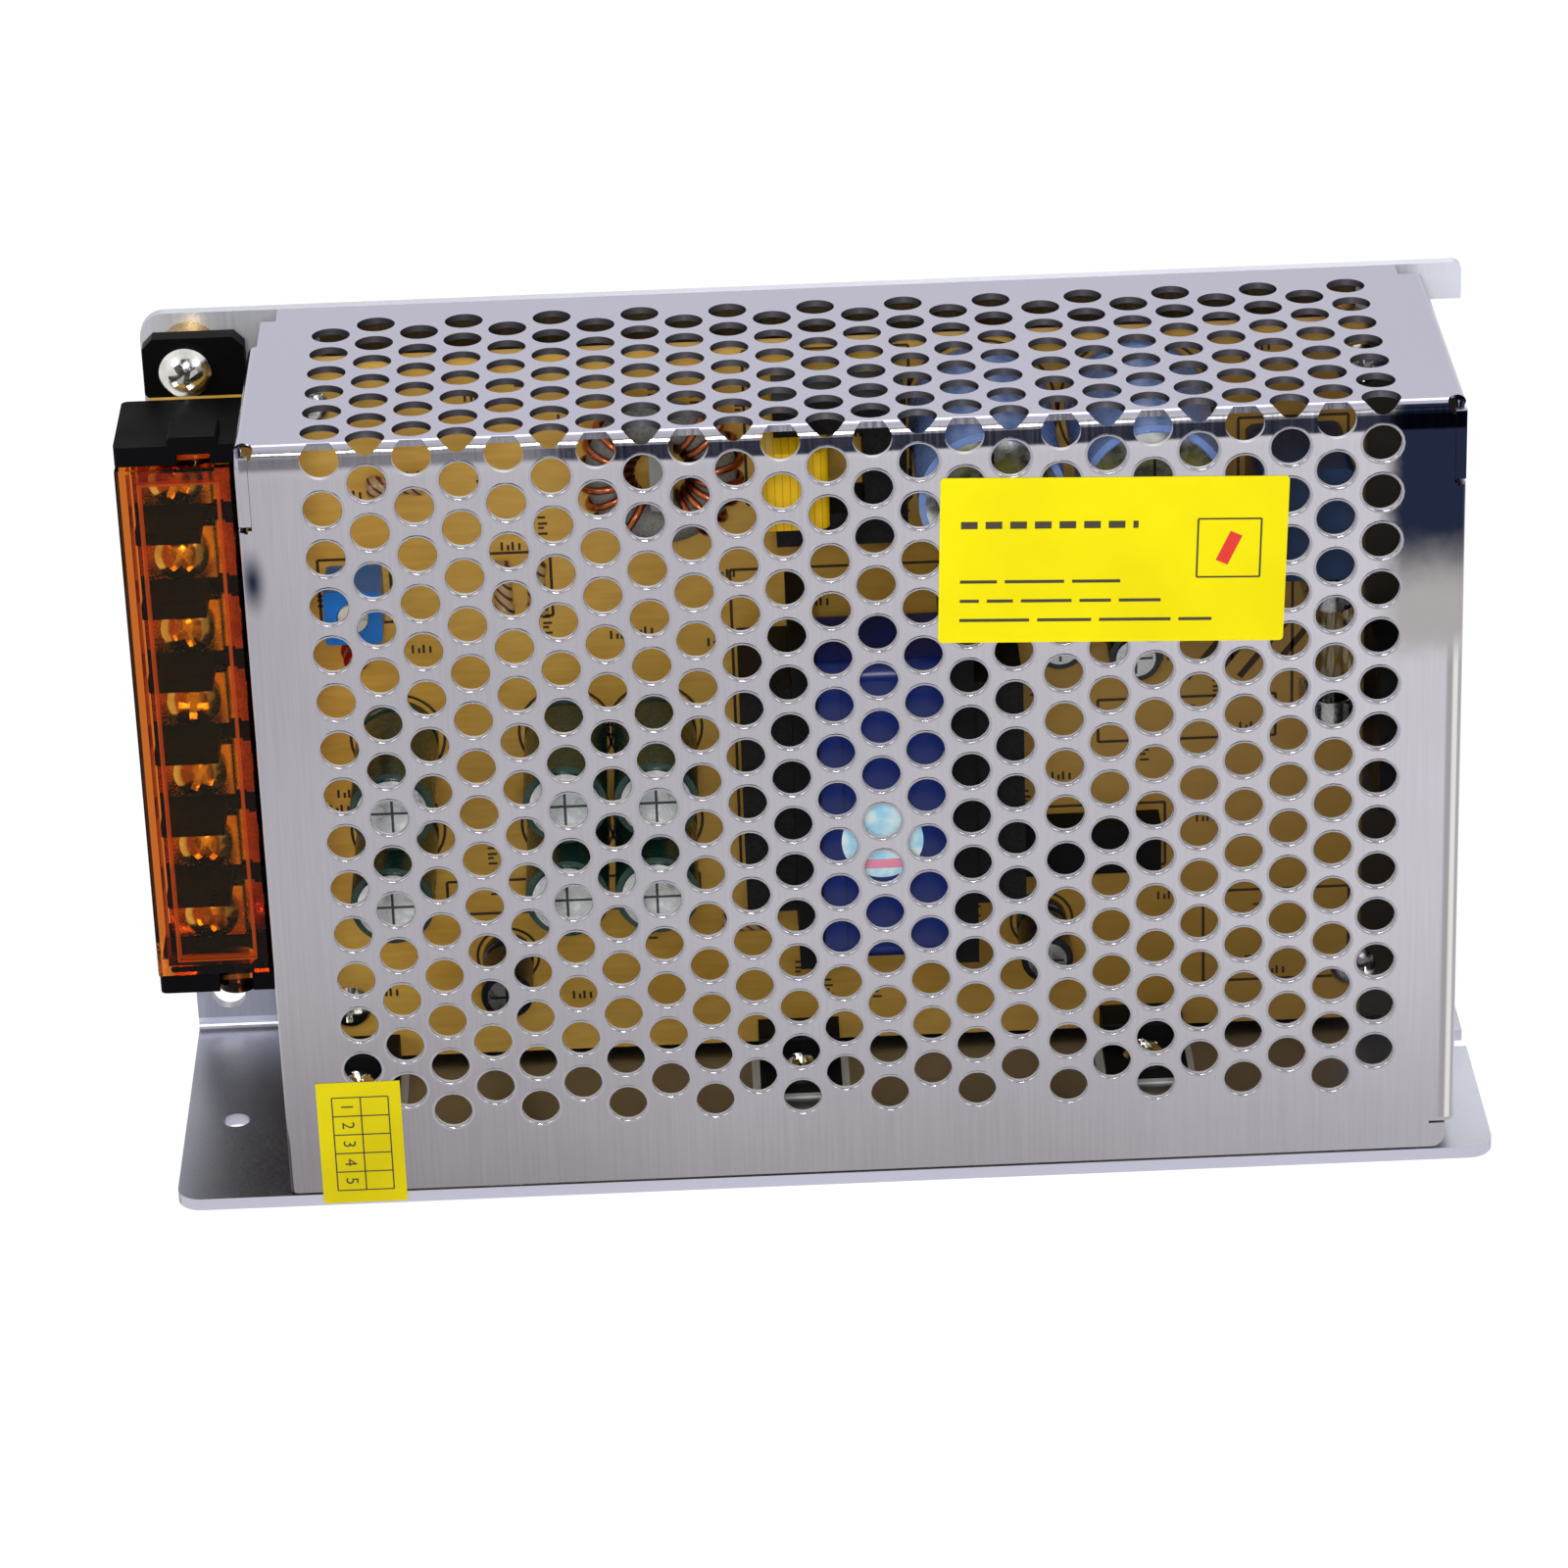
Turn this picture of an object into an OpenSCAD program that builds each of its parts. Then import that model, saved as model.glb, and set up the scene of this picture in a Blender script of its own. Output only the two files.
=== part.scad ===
// Switching power supply in a folded case with a perforated cover and a seven-way screw terminal block.
// X runs along the case, Y from the perforated face to the base plate, Z up from the side wall it stands on.

/* [Case] */
// Length of the chassis along X
case_l = 158; // [156:0.5:164]
// Height of the case as it stands on its side wall
case_w = 98; // [97:0.5:101]
// Depth from the perforated face to the back of the base plate
case_h = 45; // [44:0.5:48]
// Thickness of the chassis sheet
chassis_t = 1.5; // [1.2:0.1:1.8]
// Outer radius of the chassis fold
chassis_r = 2.4; // [2.2:0.1:3]
// Radius of the chassis sheet's free corners
corner_r = 3; // [2:0.25:3.5]
// Clear hole for an M4 screw in the base plate
mount_d = 4.2; // [4:0.1:4.6]
// Distance of the base plate holes from the ends
mount_end = 4.1; // [4:0.1:5]
// Distance of the base plate holes from the side wall's outer face
mount_up = 6.4; // [6:0.1:7.5]
// Tapping hole in the side wall
tapped_d = 3.3; // [3:0.1:3.6]
// Height of the upper right tab of the base plate
tab_w = 4.6; // [4:0.1:6]

/* [Cover] */
// Thickness of the perforated sheet
cover_t = 0.8; // [0.6:0.1:1]
// Outer radius of the cover's folds
cover_r = 1.1; // [1.05:0.05:1.3]
// Left end of the cover, behind the terminals
cover_left = 13.7; // [13.6:0.1:14]
// Length of chassis left free at the right end
cover_right = 4.95; // [4.5:0.05:5.5]
// Gap over the side wall
cover_gap = 0.3; // [0.2:0.1:0.5]
// Diameter of a vent hole
hole_d = 4.5; // [4:0.1:4.7]
// Pitch of the vent holes
hole_pitch = 6; // [5.9:0.1:6.4]
// Extra step between the two press strokes
stroke_step = 0.5; // [0:0.1:0.8]
// Columns punched by the first stroke
stroke_cols = 16; // [10:1:18]
// First hole below the upper fold
hole_top = 1.85; // [1.8:0.05:2.1]
// Depth of the short left flange
flange_d = 12; // [8:0.5:14]
// Height of the end flaps folded down from the top face
flap_w = 10; // [8:0.5:11]
// Diameter of the corner relief
relief_d = 2.6; // [2.2:0.1:2.8]

/* [Board] */
// Height of the board's standoffs
standoff_h = 9.9; // [9:0.1:10.5]
// Diameter of a standoff
standoff_d = 6; // [5:0.1:7]
// Thickness of the board
pcb_t = 1.6; // [1.2:0.1:1.8]
// Board screw diameter
pcb_screw_d = 2.9; // [2.5:0.1:3]

/* [Terminals] */
// Pitch of the terminals
term_pitch = 9.5; // [9.3:0.05:9.6]
// Thickness of the block's end walls
end_wall = 2.4; // [2:0.1:2.8]
// Thickness of a barrier
barrier_t = 1.6; // [1.2:0.1:1.8]
// Height of the block above the board
block_h = 14.4; // [14.2:0.1:15]
// How far the block reaches past the chassis's left end
block_over = 1.6; // [1.2:0.1:2]
// Diameter of a terminal screw's shank
screw_d = 3.9; // [3.4:0.1:4]
// Diameter of a terminal screw's head
screw_head_d = 6.4; // [6:0.1:6.6]
// Height of a terminal screw's head
screw_head_h = 2.4; // [2:0.1:2.6]
// Thickness of a wire clamp
clamp_t = 1.1; // [0.9:0.1:1.2]
// Thickness of a terminal plate
plate_t = 1; // [0.8:0.1:1.2]
// Lift of the clamps when the screws are backed out
lift = 3; // [2.5:0.1:3]
// Thickness of the lid
lid_t = 1.2; // [1:0.1:1.3]
// Depth of the sunk window in the lid
window_d = 0.4; // [0.2:0.1:0.6]
// Radius of the lid's hinge pins
pin_r = 2.3; // [2:0.05:2.4]

/* [Parts on the board] */
// Diameter of the two bulk capacitors
bulk_d = 17; // [15:0.5:17.5]
// Gap between the bulk capacitors and the cover
bulk_gap = 4.2; // [3:0.1:9]
// Diameter of the output capacitors
out_d = 10; // [8:0.5:10]
// Height of the output capacitors
out_h = 21; // [16:0.5:25]
// Gap between the main transformer and the cover
trafo_gap = 4.2; // [3:0.1:7]
// Turns on each side of the output choke
choke_turns = 8; // [6:1:8]
// Section of the output choke's ring
ring_d = 5; // [4:0.1:5.2]

/* [Fits] */
// Radial clearance of a pin or screw in its hole
fit_gap = 0.1; // [0.05:0.01:0.15]
// Free gap between pieces that move
move_gap = 0.3; // [0.3:0.05:0.4]
// Thickness of a paper label
label_t = 0.1; // [0.1:0.05:0.2]

/* [Hidden] */
$fn = 48;

terms = 7;
base_in = case_h - chassis_t;
pcb_back = base_in - standoff_h;
pcb_y = pcb_back - pcb_t;
cover_x1 = case_l - cover_right;
cover_z0 = chassis_t + cover_gap;
col_step = hole_pitch * sqrt(3) / 2;
plain_edge = 6.5;
cols = floor((cover_x1 - cover_left - stroke_step - hole_d - 2 * plain_edge) / col_step) + 1;
col_x0 = cover_left + (cover_x1 - cover_left - (cols - 1) * col_step - stroke_step) / 2;
front_rows = floor((case_w - hole_top - cover_z0 - hole_d / 2 - 7) / hole_pitch) + 1;
top_first = hole_pitch - hole_top + 0.05;
top_rows = floor((base_in - top_first - hole_pitch / 2 - hole_d / 2 - 3) / hole_pitch) + 1;

block_y = pcb_y - block_h;
block_x1 = cover_left - 0.5;
floor_y = pcb_y - 4.4;
plate_y = floor_y - plate_t;
clamp_y = plate_y - move_gap - clamp_t;
bays_l = terms * term_pitch;
term_z = case_w / 2 + 6.9;
bays_z0 = term_z - bays_l / 2;
bays_z1 = term_z + bays_l / 2;
block_z0 = bays_z0 - end_wall;
block_z1 = bays_z1 + end_wall;
screw_x = 4.7;
lid_y = block_y - 0.6;
lid_x0 = -block_over;
lid_x1 = cover_left - 2;
hinge_x = 7.6;
hinge_y = block_y + 2.8;
skirt_y = hinge_y + 2;
lid_reach = lid_x1 - hinge_x;
clamp_x1 = hinge_x + 1.2;
sweep_y = hinge_y + sqrt(pow(lid_reach, 2) + pow(hinge_y - lid_y, 2)) - 0.2;

pcb_x0 = 1.5;
pcb_x1 = cover_x1 - cover_t - 1.7;
pcb_z0 = chassis_t + 1.1;
pcb_z1 = case_w - 2.4;
pcb_step = cover_left + cover_t + 0.7;
board_screws = [[20, 10], [pcb_x1 - 6, 10], [20, case_w - 8], [pcb_x1 - 6, case_w - 8]];

plate_z = case_w - 4.5;
plate_face = base_in - 7.4;
tapped_y = case_h - 25.8;
slot_y = case_h - 17.7;
notch_z = 12;

// places on the board: left pieces from the cover's left end, the rest from the board's right end
mid_z = case_w / 2;
bulk_h = pcb_y - cover_t - bulk_gap;
trafo_h = pcb_y - cover_t - trafo_gap;
trafo_x = pcb_x1 - 64.25;
trafo_z = mid_z - 2.5;
wind_t = 4.8;
wind_x = 7.6;
bobbin_t = 3;
window_x = wind_x + bobbin_t + move_gap;
core_x = window_x + 5.7;
core_gap = 4.1;
limb_d = (trafo_h - core_gap - 2 * wind_t - move_gap) / 2;
limb_z = 14.5;
limb_y = pcb_y - trafo_h + wind_t;
core_y = pcb_y - core_gap;
driver_limb = 4;
driver_x = trafo_x - 11.5;
driver_z = case_w - 13;
driver_up = 6;
driver_l = 9;
choke_x = trafo_x - 24.8;
choke_z = case_w - 16.6;
device_x = [cover_left + 7.3, trafo_x - 10.8, pcb_x1 - 32.55];
device_y = pcb_y - 9;
pad_t = 0.3;
ring_r = 6.5;
wire_r = 0.45;
turn_r = ring_d / 2 + wire_r + 0.05;
turn_step = 2 * asin((wire_r + 0.03) / (ring_r - turn_r));
divider_x = (ring_r - turn_r) * cos((choke_turns - 1) / 2 * turn_step) - wire_r - 0.2;
bulk_x = pcb_x1 - 51.05;
bulk_z = case_w - 12.2;
bulk_at = [[bulk_x, bulk_z], [bulk_x + bulk_d + 1.5, bulk_z]];
out_gap = 0.7;
row_x0 = cover_left + cover_t;
row_x1 = trafo_x - core_x;
out_z1 = mid_z - 15;
out_z2 = out_z1 + out_d + 2.4;
out_x1 = row_x0 + 0.235 * (row_x1 - row_x0);
out_free = row_x1 - out_x1 - 2.5 * out_d - 2 * out_gap;
out_x2 = out_x1 + out_d + out_gap + 0.64 * out_free;
out_x3 = out_x2 + out_d + out_gap;
out_at = [[out_x1, out_z1], [out_x1 + 0.7, out_z2], [out_x2, out_z1], [out_x2 + 0.3, out_z2],
          [out_x3, out_z1], [out_x3 + 0.4, out_z2]];
small_h = 11;
small_at = [[pcb_x1 - 42.55, case_w - 38], [pcb_x1 - 33.55, case_w - 40],
            [cover_left + 26.3, 16], [pcb_x1 - 44.55, 18]];
film_x = pcb_x1 - 19.55;
film_z = case_w - 29;
film_h = 15;
fuse_x = pcb_x1 - 9.75;
fuse_z = case_w - 42;
fuse_up = 6.2;
ntc_x = pcb_x1 - 26.25;
ntc_z = case_w - 33;
ntc_up = 7.6;
bridge_x = pcb_x1 - 1.4;
bridge_z = mid_z;
bridge_l = 20;
bridge_t = 3.6;
bridge_h = 16;
ic_x = pcb_x1 - 49.55;
ic_z = 26;
resistor_at = [[cover_left + 28.3, case_w - 32, 0], [cover_left + 32.3, case_w - 32, 0],
               [cover_left + 16.3, case_w - 18, 90], [trafo_x - 16.3, 20, 90],
               [pcb_x1 - 38.55, case_w - 30, 0]];
trimmer_x = cover_left + 10.6;
trimmer_z = case_w - 32;
trimmer_h = 8;
led_x = cover_left + 10.3;
led_z = case_w - 39.5;
label_x = cover_x1 - 40.3;
label_z = case_w - 17.8;
seal_x = cover_left + 3.9;

function term_at(i) = term_z + (i - (terms - 1) / 2) * term_pitch;

module place() {
  translate([-(case_l - block_over) / 2, -(case_h - label_t) / 2, 0]) children();
}

module along_y(y0, y1) {
  translate([0, y1, 0]) rotate([90, 0, 0]) linear_extrude(y1 - y0) children();
}

module along_x(x0, x1) {
  translate([x0, 0, 0]) rotate([90, 0, 90]) linear_extrude(x1 - x0) children();
}

module along_z(z0, z1) {
  translate([0, 0, z0]) linear_extrude(z1 - z0) children();
}

module rect(x0, x1, y0, y1) {
  translate([x0, y0]) square([x1 - x0, y1 - y0]);
}

module block(x0, x1, y0, y1, z0, z1) {
  translate([x0, y0, z0]) cube([x1 - x0, y1 - y0, z1 - z0]);
}

module rod_y(x, z, y0, y1, r) {
  translate([x, y0, z]) rotate([-90, 0, 0]) cylinder(r = r, h = y1 - y0);
}

// rectangle with chosen corners rounded, corners named from lower left anticlockwise
module soft_rect(x0, x1, y0, y1, r, c = [1, 1, 1, 1]) {
  difference() {
    rect(x0, x1, y0, y1);
    if (c[0]) corner_off(x0, y0, r, 0);
    if (c[1]) corner_off(x1, y0, r, 90);
    if (c[2]) corner_off(x1, y1, r, 180);
    if (c[3]) corner_off(x0, y1, r, 270);
  }
}

module corner_off(x, y, r, a) {
  translate([x, y]) rotate(a) difference() {
    translate([-1, -1]) square(r + 1);
    translate([r, r]) circle(r);
  }
}

// quarter of a folded sheet, outer corner at the origin
module bend(t, r) {
  translate([r, r]) intersection() {
    difference() {
      circle(r);
      circle(r - t);
    }
    translate([-r, -r]) square(r);
  }
}

module turned_flange(b, t, r) {
  rect(0, t, r, b);
  bend(t, r);
}

// pan head on the plane z = 0 with a cross recess, shank below
module pan_screw(head_r, head_h, shank_r, shank_l) {
  dome = head_r * 1.25;
  difference() {
    union() {
      intersection() {
        cylinder(r = head_r, h = head_h);
        translate([0, 0, head_h - dome]) sphere(r = dome);
      }
      translate([0, 0, -shank_l]) cylinder(r = shank_r, h = shank_l + 0.1);
    }
    for (a = [0, 90])
      rotate(a) translate([-head_r * 0.55, -head_r * 0.14, head_h * 0.45])
        cube([head_r * 1.1, head_r * 0.28, head_h]);
  }
}

module can(r, h) {
  rotate_extrude()
    difference() {
      union() {
        square([r, h - 0.4]);
        square([r - 0.8, h]);
      }
      translate([r + 0.5, 2.6]) circle(1);
    }
}

module on_board(x, z) {
  translate([x, pcb_y, z]) rotate([90, 0, 0]) children();
}

// base plate at the back, down to the end of its fold
module chassis() {
  color("lightsteelblue") place() difference() {
    translate([0, case_h, 0]) along_x(0, case_l) mirror([1, 0]) turned_flange(case_w, chassis_t, chassis_r);
    along_y(base_in - 1, case_h + 1) corner_off(0, case_w, corner_r, 270);
    along_y(base_in - 1, case_h + 1) corner_off(case_l, case_w, 1, 180);
    along_y(base_in - 1, case_h + 1) soft_rect(cover_x1 + 0.35, case_l + 3, notch_z, case_w - tab_w, 1);
    for (x = [mount_end, case_l - mount_end])
      rod_y(x, mount_up, base_in - 1, case_h + 1, mount_d / 2);
  }
}

// the same sheet past the fold, flat on the ground
module side_wall() {
  color("lightsteelblue") place() along_z(0, chassis_t) difference() {
    rect(0, case_l, 0, case_h - chassis_r);
    corner_off(0, 0, corner_r, 0);
    corner_off(case_l, 0, corner_r, 90);
    translate([mount_end + 2, tapped_y]) circle(tapped_d / 2);
    translate([case_l - 5, slot_y]) circle(mount_d / 2);
    rect(case_l - 5, case_l + 1, slot_y - mount_d / 2, slot_y + mount_d / 2);
    for (x = device_x)
      translate([x, device_y]) circle(1.25);
  }
}

function col_x(k) = col_x0 + k * col_step + (k >= stroke_cols ? stroke_step : 0);

module front_vents() {
  for (k = [0 : cols - 1])
    for (j = [(k % 2 == 0 ? 1 : 0) : front_rows - 1 - (k % 2)])
      translate([col_x(k), case_w - hole_top - (k % 2) * hole_pitch / 2 - j * hole_pitch])
        circle(hole_d / 2);
}

module top_vents() {
  for (k = [0 : cols - 1])
    for (j = [0 : top_rows - 1])
      translate([col_x(k), top_first + (k % 2) * hole_pitch / 2 + j * hole_pitch]) circle(hole_d / 2);
}

// one perforated sheet: front face, top face, end flanges and end flaps
module cover() {
  x0 = cover_left;
  x1 = cover_x1;
  flap_z = case_w - flap_w;
  color("gainsboro") place() difference() {
    union() {
      along_y(0, cover_t) difference() {
        soft_rect(x0 + cover_r, x1 - cover_r, cover_z0, case_w - cover_r, 1.6, [0, 1, 0, 0]);
        front_vents();
        rect(x0, x0 + cover_r + 0.5, flap_z, case_w);
        rect(x1 - cover_r - 0.3, x1, flap_z, case_w);
        rect(x1 - 3, x1, cover_z0 + 3.2, cover_z0 + 3.5);
      }
      along_z(case_w - cover_t, case_w) difference() {
        rect(x0 + cover_r, x1 - cover_r, cover_r, base_in);
        top_vents();
        rect(x0, x0 + 2.9, base_in - 4, case_h);
        rect(x1 - 3.05, x1, base_in - 3.2, case_h);
      }
      translate([0, 0, case_w]) along_x(x0 + cover_r, x1 - cover_r) mirror([0, 1]) bend(cover_t, cover_r);
      translate([x0, 0]) along_z(cover_z0, flap_z - 0.4) turned_flange(flange_d, cover_t, cover_r);
      translate([x1, 0]) along_z(cover_z0 + 3.5, flap_z - 0.4)
        mirror([1, 0]) turned_flange(base_in, cover_t, cover_r);
      translate([x0, 0, case_w]) along_y(cover_r + 0.2, pcb_y - 0.5)
        mirror([0, 1]) turned_flange(flap_w, cover_t, cover_r);
      translate([x1, 0, case_w]) along_y(cover_r + 0.2, base_in - 3.2)
        mirror([1, 0]) mirror([0, 1]) turned_flange(flap_w, cover_t, cover_r);
    }
    for (k = [0 : 2 : cols - 1])
      rod_y(col_x(k), case_w - hole_top, -1, (cover_r + cover_t) / 2, hole_d / 2);
    for (k = [1 : 2 : cols - 1])
      translate([col_x(k), hole_pitch / 2 - hole_top + 0.75, case_w - 0.15]) sphere(r = hole_d / 2);
    for (x = [x0 + 1, x1 - 1])
      translate([x, 0, case_w]) rotate([45, 0, 0]) cylinder(r = relief_d / 2, h = 6, center = true);
  }
}

module pcb() {
  color("goldenrod") place() along_y(pcb_y, pcb_back) difference() {
    union() {
      rect(pcb_step, pcb_x1, pcb_z0, pcb_z1);
      rect(pcb_x0, pcb_step, block_z0 + 0.4, block_z1 - 0.3);
    }
    for (p = board_screws)
      translate(p) circle(pcb_screw_d / 2 + fit_gap);
  }
}

module pcb_standoffs() {
  color("silver") place() for (p = board_screws)
    difference() {
      rod_y(p[0], p[1], pcb_back, base_in, standoff_d / 2);
      rod_y(p[0], p[1], pcb_back - 1, pcb_back + 7, pcb_screw_d / 2 + fit_gap);
    }
}

module pcb_screws() {
  color("whitesmoke") place() for (p = board_screws)
    on_board(p[0], p[1]) pan_screw(2.8, 2, pcb_screw_d / 2, pcb_t + 6);
}

// end wall with a round seat for the hinge pin behind a narrower mouth
module end_profile() {
  difference() {
    soft_rect(-block_over, block_x1, block_y, pcb_y, 0.8, [1, 0, 0, 1]);
    translate([hinge_x, hinge_y]) circle(pin_r + fit_gap);
    rect(hinge_x - pin_r + 0.3, hinge_x + pin_r - 0.3, block_y - 1, hinge_y);
  }
}

// moulded block: floor, end walls with hinge slots, barriers stepped clear of the turning lid
module terminal_block() {
  color("dimgray") place() difference() {
    union() {
      block(-0.7, block_x1, floor_y, pcb_y, block_z0, block_z1);
      for (z = [block_z0, bays_z1])
        along_z(z, z + end_wall) end_profile();
      for (i = [0 : terms - 2])
        along_z(term_at(i) + term_pitch / 2 - barrier_t / 2, term_at(i) + term_pitch / 2 + barrier_t / 2) {
          soft_rect(0, hinge_x, lid_y + lid_t + move_gap, pcb_y - 1, 0.6, [1, 0, 0, 0]);
          rect(0, block_x1, sweep_y + move_gap, pcb_y - 1);
        }
      block(block_x1 - 1.6, block_x1, sweep_y + move_gap, pcb_y, block_z0, block_z1);
    }
    for (i = [0 : terms - 1])
      rod_y(screw_x, term_at(i), floor_y - 1, pcb_y - 0.6, screw_d / 2 + 0.25);
  }
}

// clear moulded lid: sunk window, skirt over the wire side, cheeks with hinge pins
module terminal_lid() {
  z0 = bays_z0 + move_gap;
  z1 = bays_z1 - move_gap;
  cheek = 0.8;
  color("darkorange") place() difference() {
    union() {
      block(lid_x0, lid_x1, lid_y, lid_y + lid_t, z0, z1);
      along_z(z0, z1) soft_rect(lid_x0, lid_x0 + lid_t, lid_y, skirt_y, 0.5, [0, 1, 0, 0]);
      for (z = [z0, z1 - cheek])
        along_z(z, z + cheek) {
          rect(lid_x0, hinge_x, lid_y, hinge_y + 1.4);
          translate([hinge_x, hinge_y]) circle(pin_r);
          rect(hinge_x - pin_r, hinge_x + pin_r, lid_y, hinge_y);
        }
      translate([hinge_x, hinge_y, z0 - move_gap - end_wall - 0.6])
        cylinder(r = pin_r, h = end_wall + move_gap + 0.6 + cheek);
      translate([hinge_x, hinge_y, z1 - cheek])
        cylinder(r = pin_r, h = end_wall + move_gap + 0.6 + cheek);
    }
    block(lid_x0 + 2.7, lid_x1 - 1.5, lid_y - 1, lid_y + window_d, z0 + 2, z1 - 2);
  }
}

// plates on the block's floor, one to each way, upturned at the back
module terminal_plates() {
  color("gold") place() for (i = [0 : terms - 1])
    difference() {
      along_z(term_at(i) - 3.4, term_at(i) + 3.4) {
        rect(-0.5, block_x1 - 2.2, plate_y, floor_y);
        rect(block_x1 - 3.2, block_x1 - 2.2, sweep_y + move_gap, floor_y);
      }
      rod_y(screw_x, term_at(i), plate_y - 1, floor_y + 1, screw_d / 2 + fit_gap);
    }
}

module terminal_clamp(i) {
  half = screw_head_d / 2 + 0.1;
  color("khaki") place() difference() {
    along_z(term_at(i) - half, term_at(i) + half)
      soft_rect(0, clamp_x1, clamp_y, clamp_y + clamp_t, 0.4, [1, 1, 0, 0]);
    rod_y(screw_x, term_at(i), clamp_y - 1, clamp_y + clamp_t + 1, screw_d / 2 + fit_gap);
  }
}

module terminal_screw(i) {
  color("lightgray") place() translate([screw_x, clamp_y, term_at(i)]) rotate([90, 0, 0]) rotate(17 + i * 23)
    pan_screw(screw_head_d / 2, screw_head_h, screw_d / 2, clamp_t + plate_t + move_gap + lift);
}

module corner_plate() {
  color("dimgray") place() along_y(plate_face, plate_face + 2.4) difference() {
    rect(0.8, cover_left - 0.8, plate_z - 4.1, plate_z + 4.1);
    for (c = [[0.8, -4.1], [0.8, 4.1], [cover_left - 0.8, -4.1], [cover_left - 0.8, 4.1]])
      translate([c[0], plate_z + c[1]]) rotate(45) square(1.8, center = true);
    translate([5.8, plate_z]) circle(1.5 + fit_gap);
  }
}

module corner_boss() {
  color("silver") place() difference() {
    rod_y(5.8, plate_z, plate_face + 2.4, base_in, 3.4);
    rod_y(5.8, plate_z, plate_face, base_in - 1, 1.5 + fit_gap);
  }
}

module corner_screw() {
  color("whitesmoke") place() translate([5.8, plate_face, plate_z]) rotate([90, 0, 0]) rotate(30)
    pan_screw(3.1, 2.3, 1.5, 5.6);
}

module trafo_frame() {
  translate([trafo_x, 0, trafo_z]) children();
}

// ring of ferrite, its front limb through the winding
module transformer_core() {
  color("dimgray") place() trafo_frame() along_z(-limb_z, limb_z) difference() {
    rect(-core_x, core_x, limb_y, core_y);
    rect(-window_x, window_x, limb_y + limb_d, core_y - limb_d);
  }
}

module transformer_winding() {
  color("royalblue") place() trafo_frame() along_x(-wind_x, wind_x) difference() {
    soft_rect(limb_y - wind_t, limb_y + limb_d + wind_t, -limb_z - wind_t, limb_z + wind_t, 2);
    rect(limb_y, limb_y + limb_d, -limb_z, limb_z);
  }
}

// two flanges on the front limb that stand on the board either side of the back limb
module transformer_bobbin() {
  flange_z = limb_z + wind_t + 0.5;
  color("darkslategray") place() trafo_frame() for (x = [-wind_x - bobbin_t, wind_x])
    along_x(x, x + bobbin_t) difference() {
      rect(limb_y - wind_t - 0.2, pcb_y, -flange_z, flange_z);
      rect(limb_y, limb_y + limb_d, -limb_z, limb_z);
      rect(limb_y + limb_d + wind_t, pcb_y + 1, -limb_z - move_gap, limb_z + move_gap);
    }
}

// flat ring of ferrite, its left limb through the taped winding
module driver_core() {
  color("dimgray") place() translate([driver_x, 0, driver_z])
    along_y(pcb_y - driver_up - driver_l, pcb_y - driver_up) difference() {
      rect(0, 15.4, -9, 9);
      rect(driver_limb, 10.4, -5, 5);
    }
}

module driver_winding() {
  color("gold") place() translate([driver_x, 0, driver_z]) along_z(-4.8, 4.8) difference() {
    soft_rect(-2.2, driver_limb + 2.2, pcb_y - driver_l - 11, pcb_y, 1.5);
    rect(0, driver_limb, pcb_y - driver_up - driver_l, pcb_y - driver_up);
  }
}

module choke_frame() {
  translate([choke_x, pcb_y - turn_r - wire_r - 0.05, choke_z]) rotate([90, 0, 0]) children();
}

module output_choke_core() {
  color("gray") place() choke_frame() rotate_extrude() translate([ring_r, 0]) circle(ring_d / 2);
}

// two windings of round wire on opposite sides of the ring
module output_choke_winding() {
  color("chocolate") place() choke_frame() for (side = [0, 180], i = [0 : choke_turns - 1])
    rotate(side + (i - (choke_turns - 1) / 2) * turn_step) translate([ring_r, 0, 0])
      rotate([90, 0, 0]) rotate_extrude() translate([turn_r, 0]) circle(wire_r);
}

// spacer in the ring's hole that keeps the two windings apart
module choke_divider() {
  color("gray") place() choke_frame() translate([0, 0, -turn_r - wire_r - 0.05])
    linear_extrude(2 * turn_r + 0.6) intersection() {
      circle(ring_r - ring_d / 2 - 0.1);
      square([2 * divider_x, 2 * ring_r], center = true);
    }
}

module bulk_capacitors() {
  color("mediumpurple") place() for (p = bulk_at)
    on_board(p[0], p[1]) can(bulk_d / 2, bulk_h);
}

module output_capacitors() {
  color("darkgreen") place() for (p = out_at)
    on_board(p[0], p[1]) can(out_d / 2, out_h);
}

module small_capacitors() {
  color("black") place() for (p = small_at)
    on_board(p[0], p[1]) can(3.15, small_h);
}

module film_capacitor() {
  color("steelblue") place() along_y(pcb_y - film_h, pcb_y)
    soft_rect(film_x, film_x + 11.5, film_z, film_z + 14, 1.2);
}

module fuse_frame() {
  translate([fuse_x, pcb_y - fuse_up, fuse_z]) children();
}

module fuse_glass() {
  color("lightcyan") place() fuse_frame() translate([0, 0, -6]) cylinder(r = 2.4, h = 12);
}

module fuse_caps() {
  color("silver") place() fuse_frame() for (z = [-10, 6])
    translate([0, 0, z]) cylinder(r = 2.6, h = 4);
}

// sprung clips on the board that hold the fuse by its caps
module fuse_clips() {
  color("silver") place() fuse_frame() for (z = [-9.5, 6.5])
    along_z(z, z + 3) difference() {
      union() {
        circle(3.2);
        rect(-3.2, 3.2, 0, fuse_up);
      }
      circle(2.62);
      rect(-1.9, 1.9, -5, 0);
      rect(-2.6, 2.6, 2.8, fuse_up - 0.8);
    }
}

module thermistor() {
  color("darkslategray") place() translate([ntc_x, pcb_y - ntc_up, ntc_z])
    cylinder(r = 6.5, h = 4.2, center = true);
  color("darkslategray") place() for (x = [ntc_x - 2.5, ntc_x + 2.5])
    rod_y(x, ntc_z, pcb_y - ntc_up / 2, pcb_y, 0.5);
}

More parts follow.
